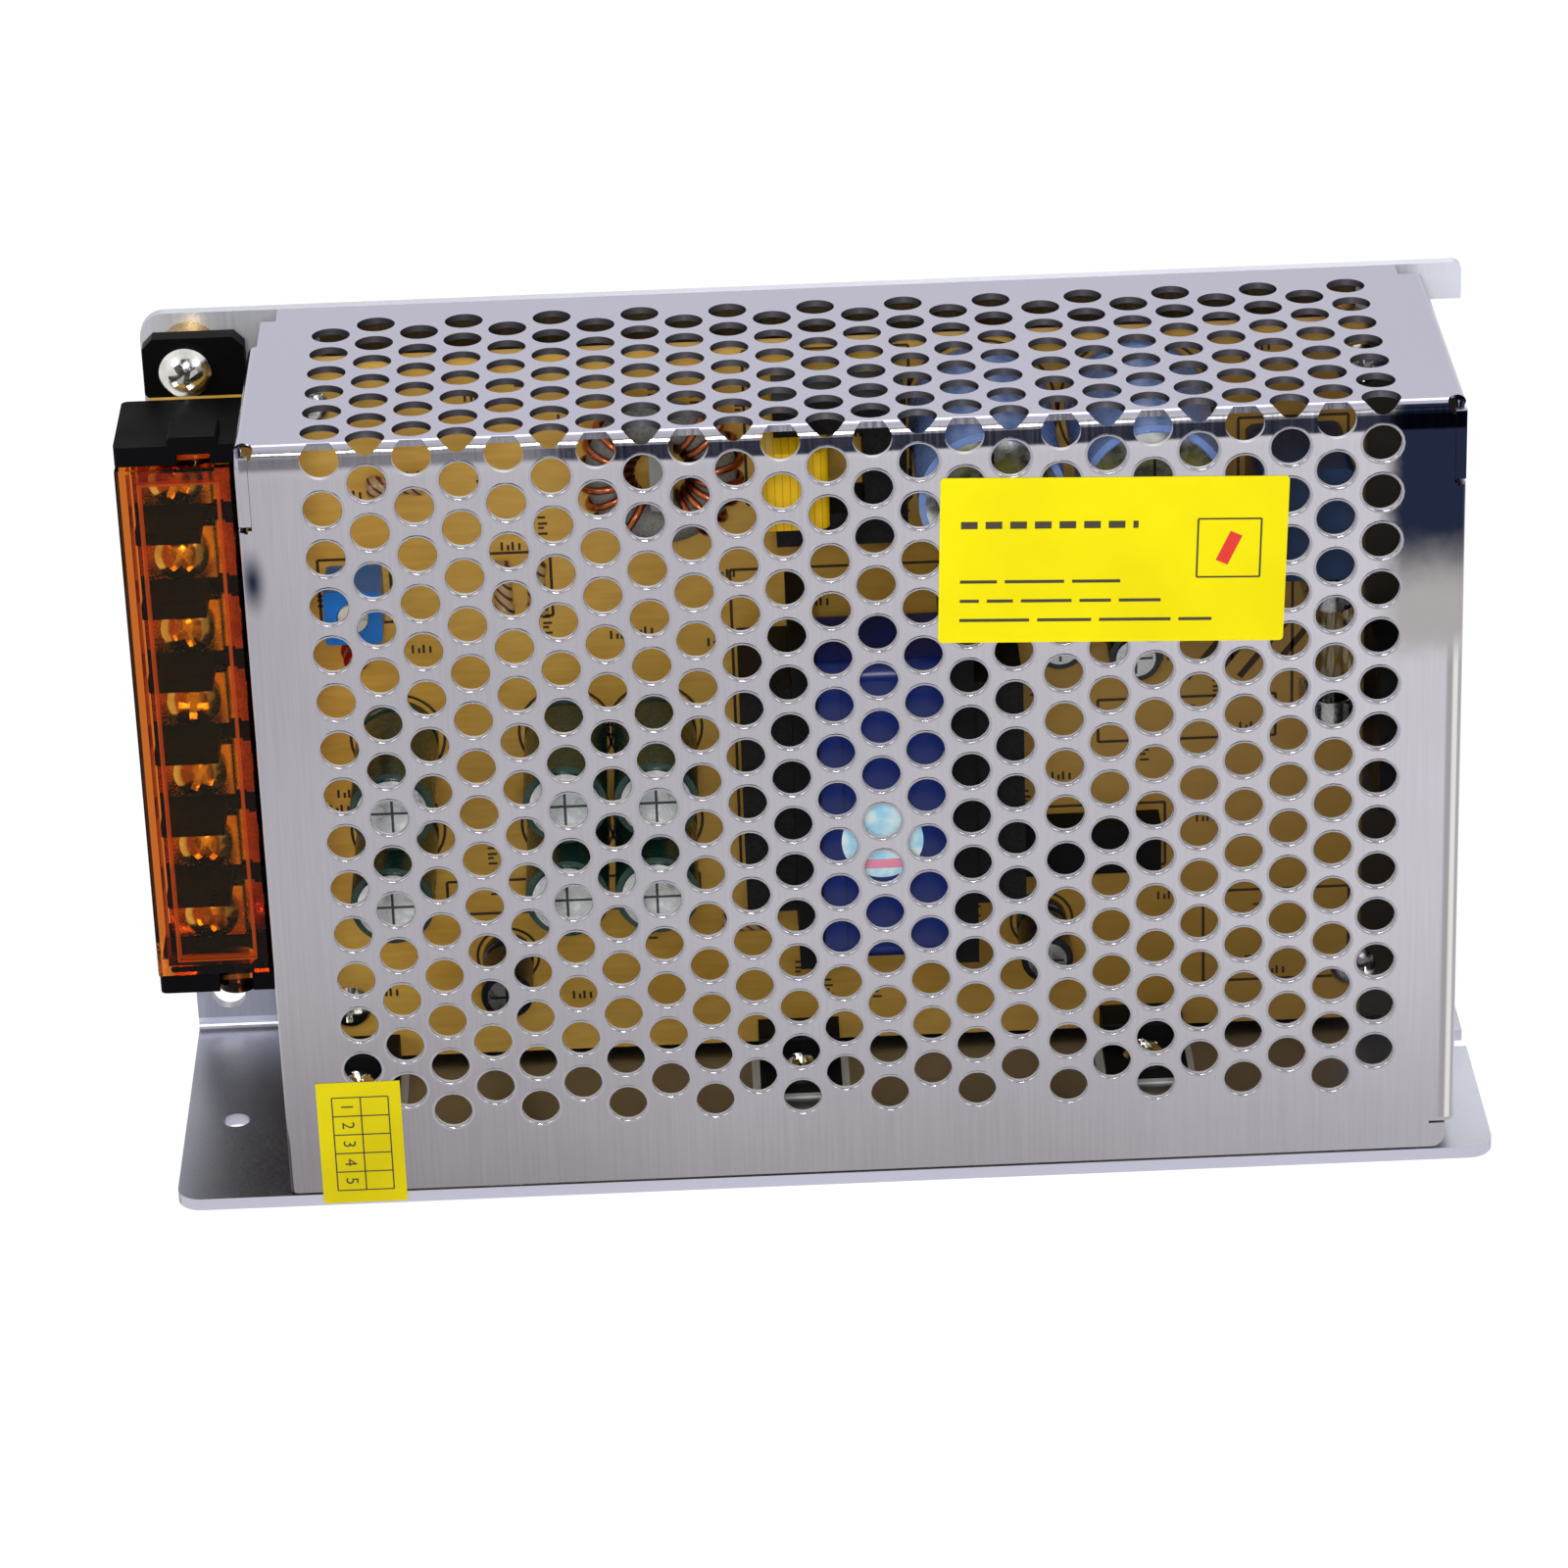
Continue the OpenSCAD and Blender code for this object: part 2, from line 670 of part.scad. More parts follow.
module bridge_rectifier() {
  color("black") place() translate([bridge_x, 0, bridge_z]) rotate([0, -90, 0]) difference() {
    block(-bridge_l / 2, bridge_l / 2, pcb_y - bridge_h, pcb_y, 0, bridge_t);
    translate([0, pcb_y - bridge_h / 2, -1]) cylinder(r = 1.6, h = bridge_t + 2);
    for (i = [-1.5 : 1.5]) translate([i * 4.3, 0, 0]) block(-1.3, 1.3, pcb_y - 4, pcb_y + 1, -1, 0.8);
  }
}

module power_devices() {
  color("black") place() for (x = device_x) difference() {
    union() {
      block(x - 5, x + 5, device_y - 3.4, device_y + 3.2, chassis_t + pad_t, chassis_t + pad_t + 1.3);
      along_x(x - 5, x + 5)
        soft_rect(device_y + 3, pcb_y - 0.6, chassis_t + pad_t, chassis_t + pad_t + 4.4, 0.6, [0, 0, 1, 1]);
    }
    translate([x, device_y, 0]) cylinder(r = 1.8, h = 10);
  }
}

module device_pads() {
  color("white") place() for (x = device_x) difference() {
    block(x - 6, x + 6, device_y - 4.2, pcb_y - 0.4, chassis_t, chassis_t + pad_t);
    translate([x, device_y, 0]) cylinder(r = 1.7, h = 10);
  }
}

module device_screws() {
  color("whitesmoke") place() for (x = device_x)
    translate([x, device_y, chassis_t + pad_t + 1.3]) rotate(20) pan_screw(2.8, 2, 1.15, 2.9);
}

module control_ic() {
  color("black") place() along_y(pcb_y - 4, pcb_y) difference() {
    rect(ic_x, ic_x + 19.5, ic_z, ic_z + 6.5);
    translate([ic_x, ic_z + 3.25]) circle(1);
  }
}

// body and two cone ends turned in one piece, lying on the board
module resistors() {
  color("tan") place() for (p = resistor_at)
    translate([p[0], pcb_y - 1.3, p[1]]) rotate([0, p[2], 0]) rotate_extrude() polygon([
      [0, -3.4], [1, -3.4], [1.3, -3], [1.3, -2.2], [1.1, -1.8],
      [1.1, 1.8], [1.3, 2.2], [1.3, 3], [1, 3.4], [0, 3.4]
    ]);
}

module trimmer_frame() {
  translate([trimmer_x, pcb_y - trimmer_h, trimmer_z]) rotate([90, 0, 0]) children();
}

module trimmer_body() {
  color("dodgerblue") place() trimmer_frame() difference() {
    translate([0, 0, -trimmer_h]) linear_extrude(trimmer_h) soft_rect(-3.4, 3.4, -3.4, 3.4, 0.6);
    translate([0, 0, -1.5]) cylinder(r = 1.8 + fit_gap, h = 3);
  }
}

module trimmer_rotor() {
  color("ivory") place() trimmer_frame() difference() {
    translate([0, 0, -1.4]) cylinder(r = 1.8, h = 1.6);
    translate([-1.9, -0.3, -0.4]) cube([3.8, 0.6, 2]);
  }
}

module indicator_led() {
  color("crimson") place() on_board(led_x, led_z) {
    cylinder(r = 1.9, h = 0.8);
    cylinder(r = 1.5, h = 3.5);
    translate([0, 0, 3.5]) sphere(r = 1.5);
  }
}

module front_label() {
  color("yellow") place() translate([label_x, 0, label_z]) rotate([0, 2, 0])
    along_y(-label_t, 0) soft_rect(-19.8, 19.8, -10.2, 10.2, 0.5);
}

module seal_label() {
  color("yellow") place() along_y(-label_t, 0) rect(seal_x, seal_x + 10, 0.3, 16.6);
}

chassis();
side_wall();
cover();
pcb();
pcb_standoffs();
pcb_screws();
terminal_block();
terminal_lid();
terminal_plates();
terminal_clamp(0);  // terminal_clamp_1
terminal_clamp(1);  // terminal_clamp_2
terminal_clamp(2);  // terminal_clamp_3
terminal_clamp(3);  // terminal_clamp_4
terminal_clamp(4);  // terminal_clamp_5
terminal_clamp(5);  // terminal_clamp_6
terminal_clamp(6);  // terminal_clamp_7
terminal_screw(0);  // terminal_screw_1
terminal_screw(1);  // terminal_screw_2
terminal_screw(2);  // terminal_screw_3
terminal_screw(3);  // terminal_screw_4
terminal_screw(4);  // terminal_screw_5
terminal_screw(5);  // terminal_screw_6
terminal_screw(6);  // terminal_screw_7
corner_plate();
corner_boss();
corner_screw();
transformer_core();
transformer_winding();
transformer_bobbin();
driver_core();
driver_winding();
output_choke_core();
output_choke_winding();
choke_divider();
bulk_capacitors();
output_capacitors();
small_capacitors();
film_capacitor();
fuse_glass();
fuse_caps();
fuse_clips();
thermistor();
bridge_rectifier();
power_devices();
device_pads();
device_screws();
control_ic();
resistors();
trimmer_body();
trimmer_rotor();
indicator_led();
front_label();
seal_label();
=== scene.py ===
import math
import bpy
import numpy as np
from mathutils import Matrix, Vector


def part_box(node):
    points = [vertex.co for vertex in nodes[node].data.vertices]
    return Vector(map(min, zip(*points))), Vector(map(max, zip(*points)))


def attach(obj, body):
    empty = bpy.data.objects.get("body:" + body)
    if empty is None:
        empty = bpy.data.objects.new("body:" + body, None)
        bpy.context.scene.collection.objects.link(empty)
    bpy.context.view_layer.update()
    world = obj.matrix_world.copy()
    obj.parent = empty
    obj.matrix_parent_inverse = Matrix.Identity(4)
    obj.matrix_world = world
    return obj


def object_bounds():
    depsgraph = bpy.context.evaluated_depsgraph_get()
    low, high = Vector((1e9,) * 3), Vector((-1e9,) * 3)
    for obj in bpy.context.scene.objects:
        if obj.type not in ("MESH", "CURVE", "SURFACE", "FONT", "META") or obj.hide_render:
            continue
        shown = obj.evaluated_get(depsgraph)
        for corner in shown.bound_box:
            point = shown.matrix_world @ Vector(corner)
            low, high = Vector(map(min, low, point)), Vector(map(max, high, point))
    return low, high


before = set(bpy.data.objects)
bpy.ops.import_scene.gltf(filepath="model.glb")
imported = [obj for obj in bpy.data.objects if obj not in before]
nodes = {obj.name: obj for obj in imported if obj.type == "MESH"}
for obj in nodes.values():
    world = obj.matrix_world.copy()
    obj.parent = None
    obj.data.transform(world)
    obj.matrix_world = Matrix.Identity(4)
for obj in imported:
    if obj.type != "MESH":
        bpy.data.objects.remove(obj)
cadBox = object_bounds()
print("frame loaded,", len(nodes), "nodes")

corner = np.array([78.2, 22.45, 0.0])  # mm, the frame's origin seen from the case's lower left front corner
white = (1.0, 1.0, 1.0, 1.0)

# node settings that come back often
times, largest, smallest = [{"operation": name} for name in ("MULTIPLY", "MAXIMUM", "MINIMUM")]
without = {"operation": "SUBTRACT", "use_clamp": True}
timesPlus = {"operation": "MULTIPLY_ADD"}
twoTones = {"data_type": "RGBA"}
softStep = {"interpolation_type": "SMOOTHSTEP"}
mostNoise = {"From Min": 0.3, "From Max": 0.7}  # most values of a noise lie between these
midNoise = {"From Min": 0.35, "From Max": 0.65}  # a harder break between two tones


# the sRGB curve
def toLinear(hexText):
    parts = [int(hexText[i:i + 2], 16) / 255 for i in (1, 3, 5)]
    return tuple(p / 12.92 if p <= 0.04045 else ((p + 0.055) / 1.055) ** 2.4 for p in parts) + (1.0,)


# a link from a node starts at its first output in use
def wire(tree, node, links):
    for key, source in links.items():
        if isinstance(source, bpy.types.Node):
            source = next(s for s in source.outputs if s.enabled)
        tree.links.new(source, node.inputs[key])


# a setting goes to the socket of that name or number, or else to the attribute of that name
def addNode(tree, kind, settings=None, links=None):
    node = tree.nodes.new("ShaderNode" + kind)
    for key, value in (settings or {}).items():
        if isinstance(key, int) or key in node.inputs:
            node.inputs[key].default_value = value
        else:
            setattr(node, key, value)
    wire(tree, node, links or {})
    return node


def emptyTree(owner):
    owner.use_nodes = True
    owner.node_tree.nodes.clear()
    return owner.node_tree


# gives the material, its tree, its shader and the place in mm from the case's corner
def startMaterial(name, colour, sockets):
    material = bpy.data.materials.new(name)
    tree = emptyTree(material)
    shader = addNode(tree, "BsdfPrincipled", {"Base Color": toLinear(colour), **sockets})
    addNode(tree, "OutputMaterial", {}, {"Surface": shader})
    coords = addNode(tree, "TexCoord")
    place = addNode(tree, "VectorMath", {**timesPlus, 1: (1000.0,) * 3, 2: tuple(corner)},
                    {0: coords.outputs["Object"]})
    return material, tree, shader, place


def dress(material, *names):
    for name in names:
        for place in nodes[name].material_slots:
            place.material = material


# points in mm from the case's corner
def newPiece(name, points, faces, material, slotName, body="case"):
    mesh = bpy.data.meshes.new(name)
    mesh.from_pydata(((points - corner) / 1000).tolist(), [], faces if isinstance(faces, list) else faces.tolist())
    mesh.materials.append(material)
    mesh.update()
    piece = bpy.data.objects.new(name, mesh)
    bpy.context.scene.collection.objects.link(piece)
    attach(piece, body)
    return piece


# right, up and back are the columns of its turn
def setPose(thing, right, up, back, spot):
    matrix = np.eye(4)
    matrix[:3] = np.column_stack([right, up, back, spot])
    thing.matrix_world = Matrix(matrix.tolist())


# a turn in the plane of two axes
def turned(angle, first, second):
    matrix = np.eye(3)
    matrix[first, first] = matrix[second, second] = math.cos(angle)
    matrix[first, second], matrix[second, first] = -math.sin(angle), math.sin(angle)
    return matrix


# focus in pixels of a frame that many pixels wide; offset is the pivot seen from the lens, in mm; clip in m
cameraSet = dict(focus=5878.96, pixels=1600, sensor=36.0, tilt=0.4509, turn=-0.012, roll=-0.0356,
                 offset=(3.6575, -5.2332, 688.2477), pivot=(0.3, -1.45, 49.0), clip=(0.01, 20.0))


# looks along +Y, then turned about Z, tilted down and rolled
def makeCamera(settings):
    level = np.array([[1, 0, 0], [0, 0, -1], [0, 1, 0]])
    view = turned(settings["roll"], 0, 1) @ turned(settings["tilt"], 1, 2) @ turned(settings["turn"], 2, 0) @ level
    data = bpy.data.cameras.new("photoCamera")
    data.sensor_width = settings["sensor"]
    data.lens = settings["focus"] / settings["pixels"] * settings["sensor"]
    data.clip_start, data.clip_end = settings["clip"]
    camera = bpy.data.objects.new("photoCamera", data)
    bpy.context.scene.collection.objects.link(camera)
    spot = (np.array(settings["pivot"]) - view.T @ np.array(settings["offset"])) / 1000
    setPose(camera, view[0], -view[1], -view[2], spot)
    bpy.context.scene.camera = camera


makeCamera(cameraSet)
print("camera set")


# the flag is a dark card behind the camera that only reflections see: half its width, place along Y and height, m
stageSet = dict(fill=0.34, floorColour="#E6E6E8", floorSeen="#7C7C7E", floorGlow=0.88, floorSize=6.0,
                flagColour="#262C42", flag=(0.4, -1.0, 1.2))
lamps = [  # name, place and aim in m, width, watts
    ("keySoftbox", (-0.03, -0.655, 0.372), (0.0, 0.0, 0.045), 0.13, 2.55),
    ("leftSoftbox", (-0.55, -0.55, 0.50), (0.0, 0.0, 0.05), 0.30, 1.3),
    ("rightSoftbox", (0.55, -0.55, 0.50), (0.0, 0.0, 0.05), 0.30, 1.3),
    ("backSoftbox", (0.05, 0.55, 0.70), (0.0, 0.0, 0.05), 0.60, 2.0)]


# 1 for what the lens, a mirror or clear plastic sees, 0 for soft light
def seenPlainly(tree):
    path = addNode(tree, "LightPath")
    seen = addNode(tree, "Math", largest, {0: path.outputs["Is Camera Ray"], 1: path.outputs["Is Glossy Ray"]})
    return addNode(tree, "Math", largest, {0: seen, 1: path.outputs["Is Transmission Ray"]})


def stageCard(name, corners, material):
    mesh = bpy.data.meshes.new(name)
    mesh.from_pydata(corners, [], [(0, 1, 2, 3)])
    mesh.materials.append(material)
    card = bpy.data.objects.new(name, mesh)
    bpy.context.scene.collection.objects.link(card)
    return card


def makeStage(settings):
    scene = bpy.context.scene
    scene.view_settings.view_transform = "Standard"
    scene.world = bpy.data.worlds.new("paleStudio")
    tree = emptyTree(scene.world)
    seen = seenPlainly(tree)
    soft = addNode(tree, "Background", {"Color": white, "Strength": settings["fill"]})
    bright = addNode(tree, "Background", {"Color": white, "Strength": 1.0})
    both = addNode(tree, "MixShader", {}, {0: seen, 1: soft, 2: bright})
    addNode(tree, "OutputWorld", {}, {"Surface": both})

    # pale card: plain diffuse to soft light, near white with a light shadow to the lens, to metal and to glass
    floor = bpy.data.materials.new("paleCard")
    tree = emptyTree(floor)
    seen = seenPlainly(tree)
    pale = addNode(tree, "BsdfDiffuse", {"Color": toLinear(settings["floorColour"])})
    matt = addNode(tree, "BsdfDiffuse", {"Color": toLinear(settings["floorSeen"])})
    glow = addNode(tree, "Emission", {"Color": white, "Strength": settings["floorGlow"]})
    bright = addNode(tree, "AddShader", {}, {0: matt, 1: glow})
    both = addNode(tree, "MixShader", {}, {0: seen, 1: pale, 2: bright})
    addNode(tree, "OutputMaterial", {}, {"Surface": both})
    half = settings["floorSize"] / 2
    level = float(cadBox[0][2])
    stageCard("floorCard", [(-half, -half, level), (half, -half, level), (half, half, level), (-half, half, level)],
              floor)

    black = bpy.data.materials.new("blackFlag")
    tree = emptyTree(black)
    dark = addNode(tree, "Emission", {"Color": toLinear(settings["flagColour"]), "Strength": 1.0})
    addNode(tree, "OutputMaterial", {}, {"Surface": dark})
    half, y, height = settings["flag"]
    flag = stageCard("frontFlag", [(-half, y, 0.0), (half, y, 0.0), (half, y, height), (-half, y, height)], black)
    flag.visible_camera = flag.visible_diffuse = flag.visible_shadow = False
    flag.visible_transmission = flag.visible_volume_scatter = False

    for name, spot, aim, width, watts in lamps:
        data = bpy.data.lights.new(name, "AREA")
        data.shape = "DISK"
        data.size = width
        data.energy = watts
        lamp = bpy.data.objects.new(name, data)
        scene.collection.objects.link(lamp)
        back = np.array(spot) - np.array(aim)
        back = back / np.linalg.norm(back)
        right = np.cross((0, 0, 1), back)
        right = right / np.linalg.norm(right)
        setPose(lamp, right, np.cross(back, right), back, spot)


makeStage(stageSet)
print("stage set")


# zinc-coated steel, cold rolled: a soft mirror, streaked along the rolling, clouded where it was handled
def rolledSheet(name, settings):
    material, tree, shader, place = startMaterial(name, settings["light"], {"Metallic": 1.0})
    wide, long = settings["streak"]  # mm; real streaks are near 0.05 mm, drawn coarser to show
    grainShare = 0.35  # of the mottle, the rest is cloud
    lay = addNode(tree, "Mapping", {"Scale": (1 / wide, 1 / wide, 1 / long)}, {"Vector": place})
    grain = addNode(tree, "TexNoise", {"Scale": 1.0, "Detail": 3.0}, {"Vector": lay})
    cloud = addNode(tree, "TexNoise", {"Scale": 1 / settings["cloud"], "Detail": 4.0}, {"Vector": place})
    part = addNode(tree, "Math", {**times, 1: 1 - grainShare}, {0: cloud})
    tone = addNode(tree, "Math", {**timesPlus, 1: grainShare}, {0: grain, 2: part})
    tone = addNode(tree, "MapRange", {**mostNoise, "To Max": settings["mottle"]}, {"Value": tone})
    axes = addNode(tree, "SeparateXYZ", {}, {0: place})
    for axis, key in ((0, "alongX"), (2, "alongZ")):  # lighter towards the far end of each span, a painted gradient of reflected light
        start, end, share = settings[key]
        drift = addNode(tree, "MapRange", {"From Min": start, "From Max": end, "To Max": share},
                        {"Value": axes.outputs[axis]})
        tone = addNode(tree, "Math", {"operation": "ADD", "use_clamp": True}, {0: tone, 1: drift})
    colour = addNode(tree, "Mix", {**twoTones, 6: toLinear(settings["dark"]), 7: toLinear(settings["light"])},
                     {0: tone})
    smoother, rougher = settings["rough"]
    rough = addNode(tree, "MapRange", {**mostNoise, "To Min": smoother, "To Max": rougher}, {"Value": grain})
    bump = addNode(tree, "Bump", {"Strength": settings["relief"], "Distance": 0.00002}, {"Height": grain})  # m
    wire(tree, shader, {"Base Color": colour, "Roughness": rough, "Normal": bump})
    shape = addNode(tree, "NewGeometry")
    face = addNode(tree, "SeparateXYZ", {}, {0: shape.outputs["Normal"]})
    front = addNode(tree, "Math", {"operation": "LESS_THAN", 1: -0.5}, {0: face.outputs[1]})  # by the normal
    return dict(material=material, tree=tree, shader=shader, place=place, axes=axes, bump=bump, colour=colour,
                rough=rough, shape=shape, face=face, front=front)


# spans in mm from the case's corner; the end spans and the spot at the left edge place a painted reflection in the
# shade and tail tones; a crest line, painted light on the right fold, has its start, where it is full, and its tone
coverSet = dict(light="#C3C0C8", dark="#7C777A", mottle=0.25, alongX=(15.0, 150.0, 0.40), alongZ=(2.0, 34.0, 0.38),
                streak=(0.4, 14.0), cloud=42.0, rough=(0.09, 0.16), relief=0.04,
                top="#AFADBE", cutHighlight="#EFEDF1", cutShade="#47454A", cutMetal=0.3, cutRough=0.4, bendRough=0.1,
                vents=(83.5, 66.5), bendZ=96.6, bendY=1.15,
                foldZ=(93.4, 95.6), foldLean=(0.15, 0.235), foldX=(46.0, 64.0),
                endX=(142.4, 146.0), endZ=(73.8, 83.0), endTail=(65.0, 70.0), ragged=2.6,
                leftReflection=(14.9, 81.6), leftReflectionSize=(2.0, 5.2), shade="#20263A", tail="#A5A1A0", slitZ=5.75,
                crest=((150.9, 151.4, "#9A9698"), (151.7, 152.05, "#DAD8D6"), (152.35, 152.6, "#A39FA2")))


# the front leans back below the fold, so that it mirrors the room and not the floor: the normal there is
# (0, -1, lean), made one long
def punchedCover(settings):
    sheet = rolledSheet("coldRolledZincSteelPunched", settings)
    tree, place, front, colour, rough = [sheet[key] for key in ("tree", "place", "front", "colour", "rough")]
    x, y, z = sheet["axes"].outputs
    faceX, faceY, faceZ = sheet["face"].outputs
    waver = addNode(tree, "TexNoise", {"Scale": 1 / settings["ragged"], "Detail": 3.0}, {"Vector": place})
    waver = addNode(tree, "Math", {**timesPlus, 1: settings["ragged"], 2: -settings["ragged"] / 2}, {0: waver})
    spans = {}
    leanLeft, leanRight = settings["foldLean"]
    for key, along, reach in (("foldZ", z, {}), ("foldX", x, {"To Min": leanLeft, "To Max": leanRight}),
                              ("endX", x, {}), ("endZ", z, {}), ("endTail", z, {})):
        if key.startswith("end"):
            along = addNode(tree, "Math", {"operation": "ADD"}, {0: along, 1: waver})
        start, end = settings[key]
        spans[key] = addNode(tree, "MapRange", {**softStep, "From Min": start, "From Max": end, **reach},
                             {"Value": along})
    lean = addNode(tree, "Math", times, {0: spans["foldZ"], 1: spans["foldX"]})
    lean = addNode(tree, "Math", times, {0: lean, 1: front})
    lean = addNode(tree, "CombineXYZ", {}, {2: lean})
    lean = addNode(tree, "VectorMath", {"operation": "ADD"}, {0: lean, 1: sheet["shape"].outputs["Normal"]})
    lean = addNode(tree, "VectorMath", {"operation": "NORMALIZE"}, {0: lean})
    wire(tree, sheet["bump"], {"Normal": lean})

    # painted reflection of a dark room: a dark patch at the upper right end, and an ellipse at the left edge that
    # falls off with the length of its offset from the spot's centre divided by the spot's size
    (reflectionX, reflectionZ), (wide, tall) = settings["leftReflection"], settings["leftReflectionSize"]
    away = addNode(tree, "Mapping", {"Scale": (1 / wide, 0.0, 1 / tall),
                                     "Location": (-reflectionX / wide, 0.0, -reflectionZ / tall)}, {"Vector": place})
    away = addNode(tree, "VectorMath", {"operation": "LENGTH"}, {0: away})
    leftReflection = addNode(tree, "MapRange", {**softStep, "From Min": 1.0, "From Max": 0.0}, {"Value": away})
    shade = addNode(tree, "Math", times, {0: spans["endX"], 1: spans["endZ"]})
    shade = addNode(tree, "Math", largest, {0: shade, 1: leftReflection})
    shade = addNode(tree, "Math", times, {0: shade, 1: front})
    # the tail is a lighter grey below the dark patch, the lower end of the same painted reflection
    tail = addNode(tree, "Math", times, {0: spans["endX"], 1: spans["endTail"]})
    tail = addNode(tree, "Math", times, {0: tail, 1: front})
    layers = [(tail, settings["tail"])]  # each covers those before it

    # the right fold is painted: a line of painted shade before it, a painted highlight on the crest and a line of
    # painted shade at the edge
    above = addNode(tree, "Math", {"operation": "GREATER_THAN", 1: settings["slitZ"]}, {0: z})
    above = addNode(tree, "Math", without, {0: above, 1: spans["endTail"]})
    above = addNode(tree, "Math", times, {0: above, 1: front})
    for start, end, tone in settings["crest"]:
        crest = addNode(tree, "MapRange", {**softStep, "From Min": start, "From Max": end}, {"Value": x})
        layers.append((addNode(tree, "Math", times, {0: crest, 1: above}), tone))
    layers.append((shade, settings["shade"]))

    # the top is painted a cooler tone, a painted reflection of the light above; punched walls in the front get a
    # painted highlight and are scored, rougher and less metallic; those at the fold and the top get painted shade
    middle, half = settings["vents"]
    inner = addNode(tree, "Math", {"operation": "COMPARE", 1: middle, 2: half}, {0: x})
    upper = addNode(tree, "Math", {"operation": "GREATER_THAN", 1: settings["bendZ"]}, {0: z})
    behind = addNode(tree, "Math", {"operation": "LESS_THAN", 1: settings["bendY"]}, {0: y})
    level = addNode(tree, "Math", {"operation": "GREATER_THAN", 1: 0.7}, {0: faceZ})  # faces up
    bright = addNode(tree, "Math", {"operation": "COMPARE", 1: 0.0, 2: 0.35}, {0: faceY})  # faces aside
    bright = addNode(tree, "Math", without, {0: bright, 1: upper})
    bright = addNode(tree, "Math", times, {0: bright, 1: inner})
    flat = addNode(tree, "Math", {"operation": "GREATER_THAN", 1: 0.9}, {0: faceZ})  # lies level
    flat = addNode(tree, "Math", largest, {0: behind, 1: flat})
    sheetFace = addNode(tree, "Math", {"operation": "COMPARE", 1: 0.0, 2: 0.08}, {0: faceX})  # no wall of a hole
    sheetFace = addNode(tree, "Math", smallest, {0: sheetFace, 1: flat})
    dim = addNode(tree, "Math", without, {0: upper, 1: sheetFace})
    dim = addNode(tree, "Math", times, {0: dim, 1: inner})
    layers += [(level, settings["top"]), (bright, settings["cutHighlight"]), (dim, settings["cutShade"])]
    for mask, tone in layers:
        colour = addNode(tree, "Mix", {**twoTones, 7: toLinear(tone)}, {0: mask, 6: colour})
    bend = addNode(tree, "Math", times, {0: upper, 1: behind})
    for mask, key in ((bend, "bendRough"), (bright, "cutRough"), (dim, "cutRough")):
        rough = addNode(tree, "Math", {**timesPlus, 1: settings[key]}, {0: mask, 2: rough})
    metal = addNode(tree, "MapRange", {"To Min": 1.0, "To Max": settings["cutMetal"]}, {"Value": bright})
    wire(tree, sheet["shader"], {"Base Color": colour, "Roughness": rough, "Metallic": metal})
    return sheet["material"]


chassisSet = dict(light="#D2D5DE", dark="#787982", mottle=0.3, alongX=(15.0, 150.0, 0.22), alongZ=(40.0, 85.0, 0.6),
                  streak=(0.5, 16.0), cloud=30.0, rough=(0.3, 0.44), relief=0.1, edge="#BCBCCA", inside="#83745C",
                  bloomZ=(50.0, 86.0), bloomMetal=0.35, covered=(83.4, 62.0), wallZ=3.0)


# zinc bloom dulls the back plate's upper part outside the cover; inside the cover the plate gets painted shade, and
# the wall's front edge a painted highlight
def foldedChassis(settings):
    sheet = rolledSheet("coldRolledZincSteelFolded", settings)
    tree, front, colour = sheet["tree"], sheet["front"], sheet["colour"]
    x, z = sheet["axes"].outputs[0], sheet["axes"].outputs[2]
    middle, half = settings["covered"]
    covered = addNode(tree, "Math", {"operation": "COMPARE", 1: middle, 2: half}, {0: x})
    covered = addNode(tree, "Math", times, {0: covered, 1: front})
    start, end = settings["bloomZ"]
    bloom = addNode(tree, "MapRange", {"From Min": start, "From Max": end}, {"Value": z})
    bloom = addNode(tree, "Math", without, {0: bloom, 1: covered})
    metal = addNode(tree, "MapRange", {"To Min": 1.0, "To Max": settings["bloomMetal"]}, {"Value": bloom})
    edge = addNode(tree, "Math", {"operation": "LESS_THAN", 1: settings["wallZ"]}, {0: z})
    edge = addNode(tree, "Math", times, {0: edge, 1: front})
    # inside: painted shade tinted with the board's reflected brown; edge: a painted highlight along the wall's front
    # edge
    for mask, key in ((covered, "inside"), (edge, "edge")):
        colour = addNode(tree, "Mix", {**twoTones, 7: toLinear(settings[key])}, {0: mask, 6: colour})
    wire(tree, sheet["shader"], {"Base Color": colour, "Metallic": metal})
    return sheet["material"]


coverSteel = punchedCover(coverSet)
dress(coverSteel, "cover")
dress(foldedChassis(chassisSet), "chassis", "side_wall")
print("sheet metal dressed")


# a bead's points are (out from the hole, up off the sheet) in mm
ventSet = dict(left=13.7, right=153.05, pitch=6.0, radius=2.25, columns=24, strokeColumns=16, strokeStep=0.5,
               topZ=98.0, firstFront=1.85, frontRows=15, segments=20, colour="#A3A1A8", wear=1.5, rough=(0.14, 0.28),
               bead=[(0.36, -0.01), (0.22, 0.035), (0.12, 0.045), (0.02, 0.01), (-0.04, -0.14)])
# steel rolled over by the punch: bright, smooth and a little proud around each vent
lipSteel, tree, shader, place = startMaterial("burnishedPunchedEdge", ventSet["colour"],
                                              {"Metallic": 1.0, "Roughness": 0.2})
wear = addNode(tree, "TexNoise", {"Scale": 1 / ventSet["wear"], "Detail": 2.0}, {"Vector": place})
smoother, rougher = ventSet["rough"]
rough = addNode(tree, "MapRange", {**mostNoise, "To Min": smoother, "To Max": rougher}, {"Value": wear})
wire(tree, shader, {"Roughness": rough})


# quads between neighbouring rings of count points
def ringQuads(rings, count):
    i, s = np.meshgrid(np.arange(rings - 1) * count, np.arange(count), indexing="ij")
    n = (s + 1) % count
    return np.stack([i + s, i + n, i + count + n, i + count + s], -1).reshape(-1, 4)


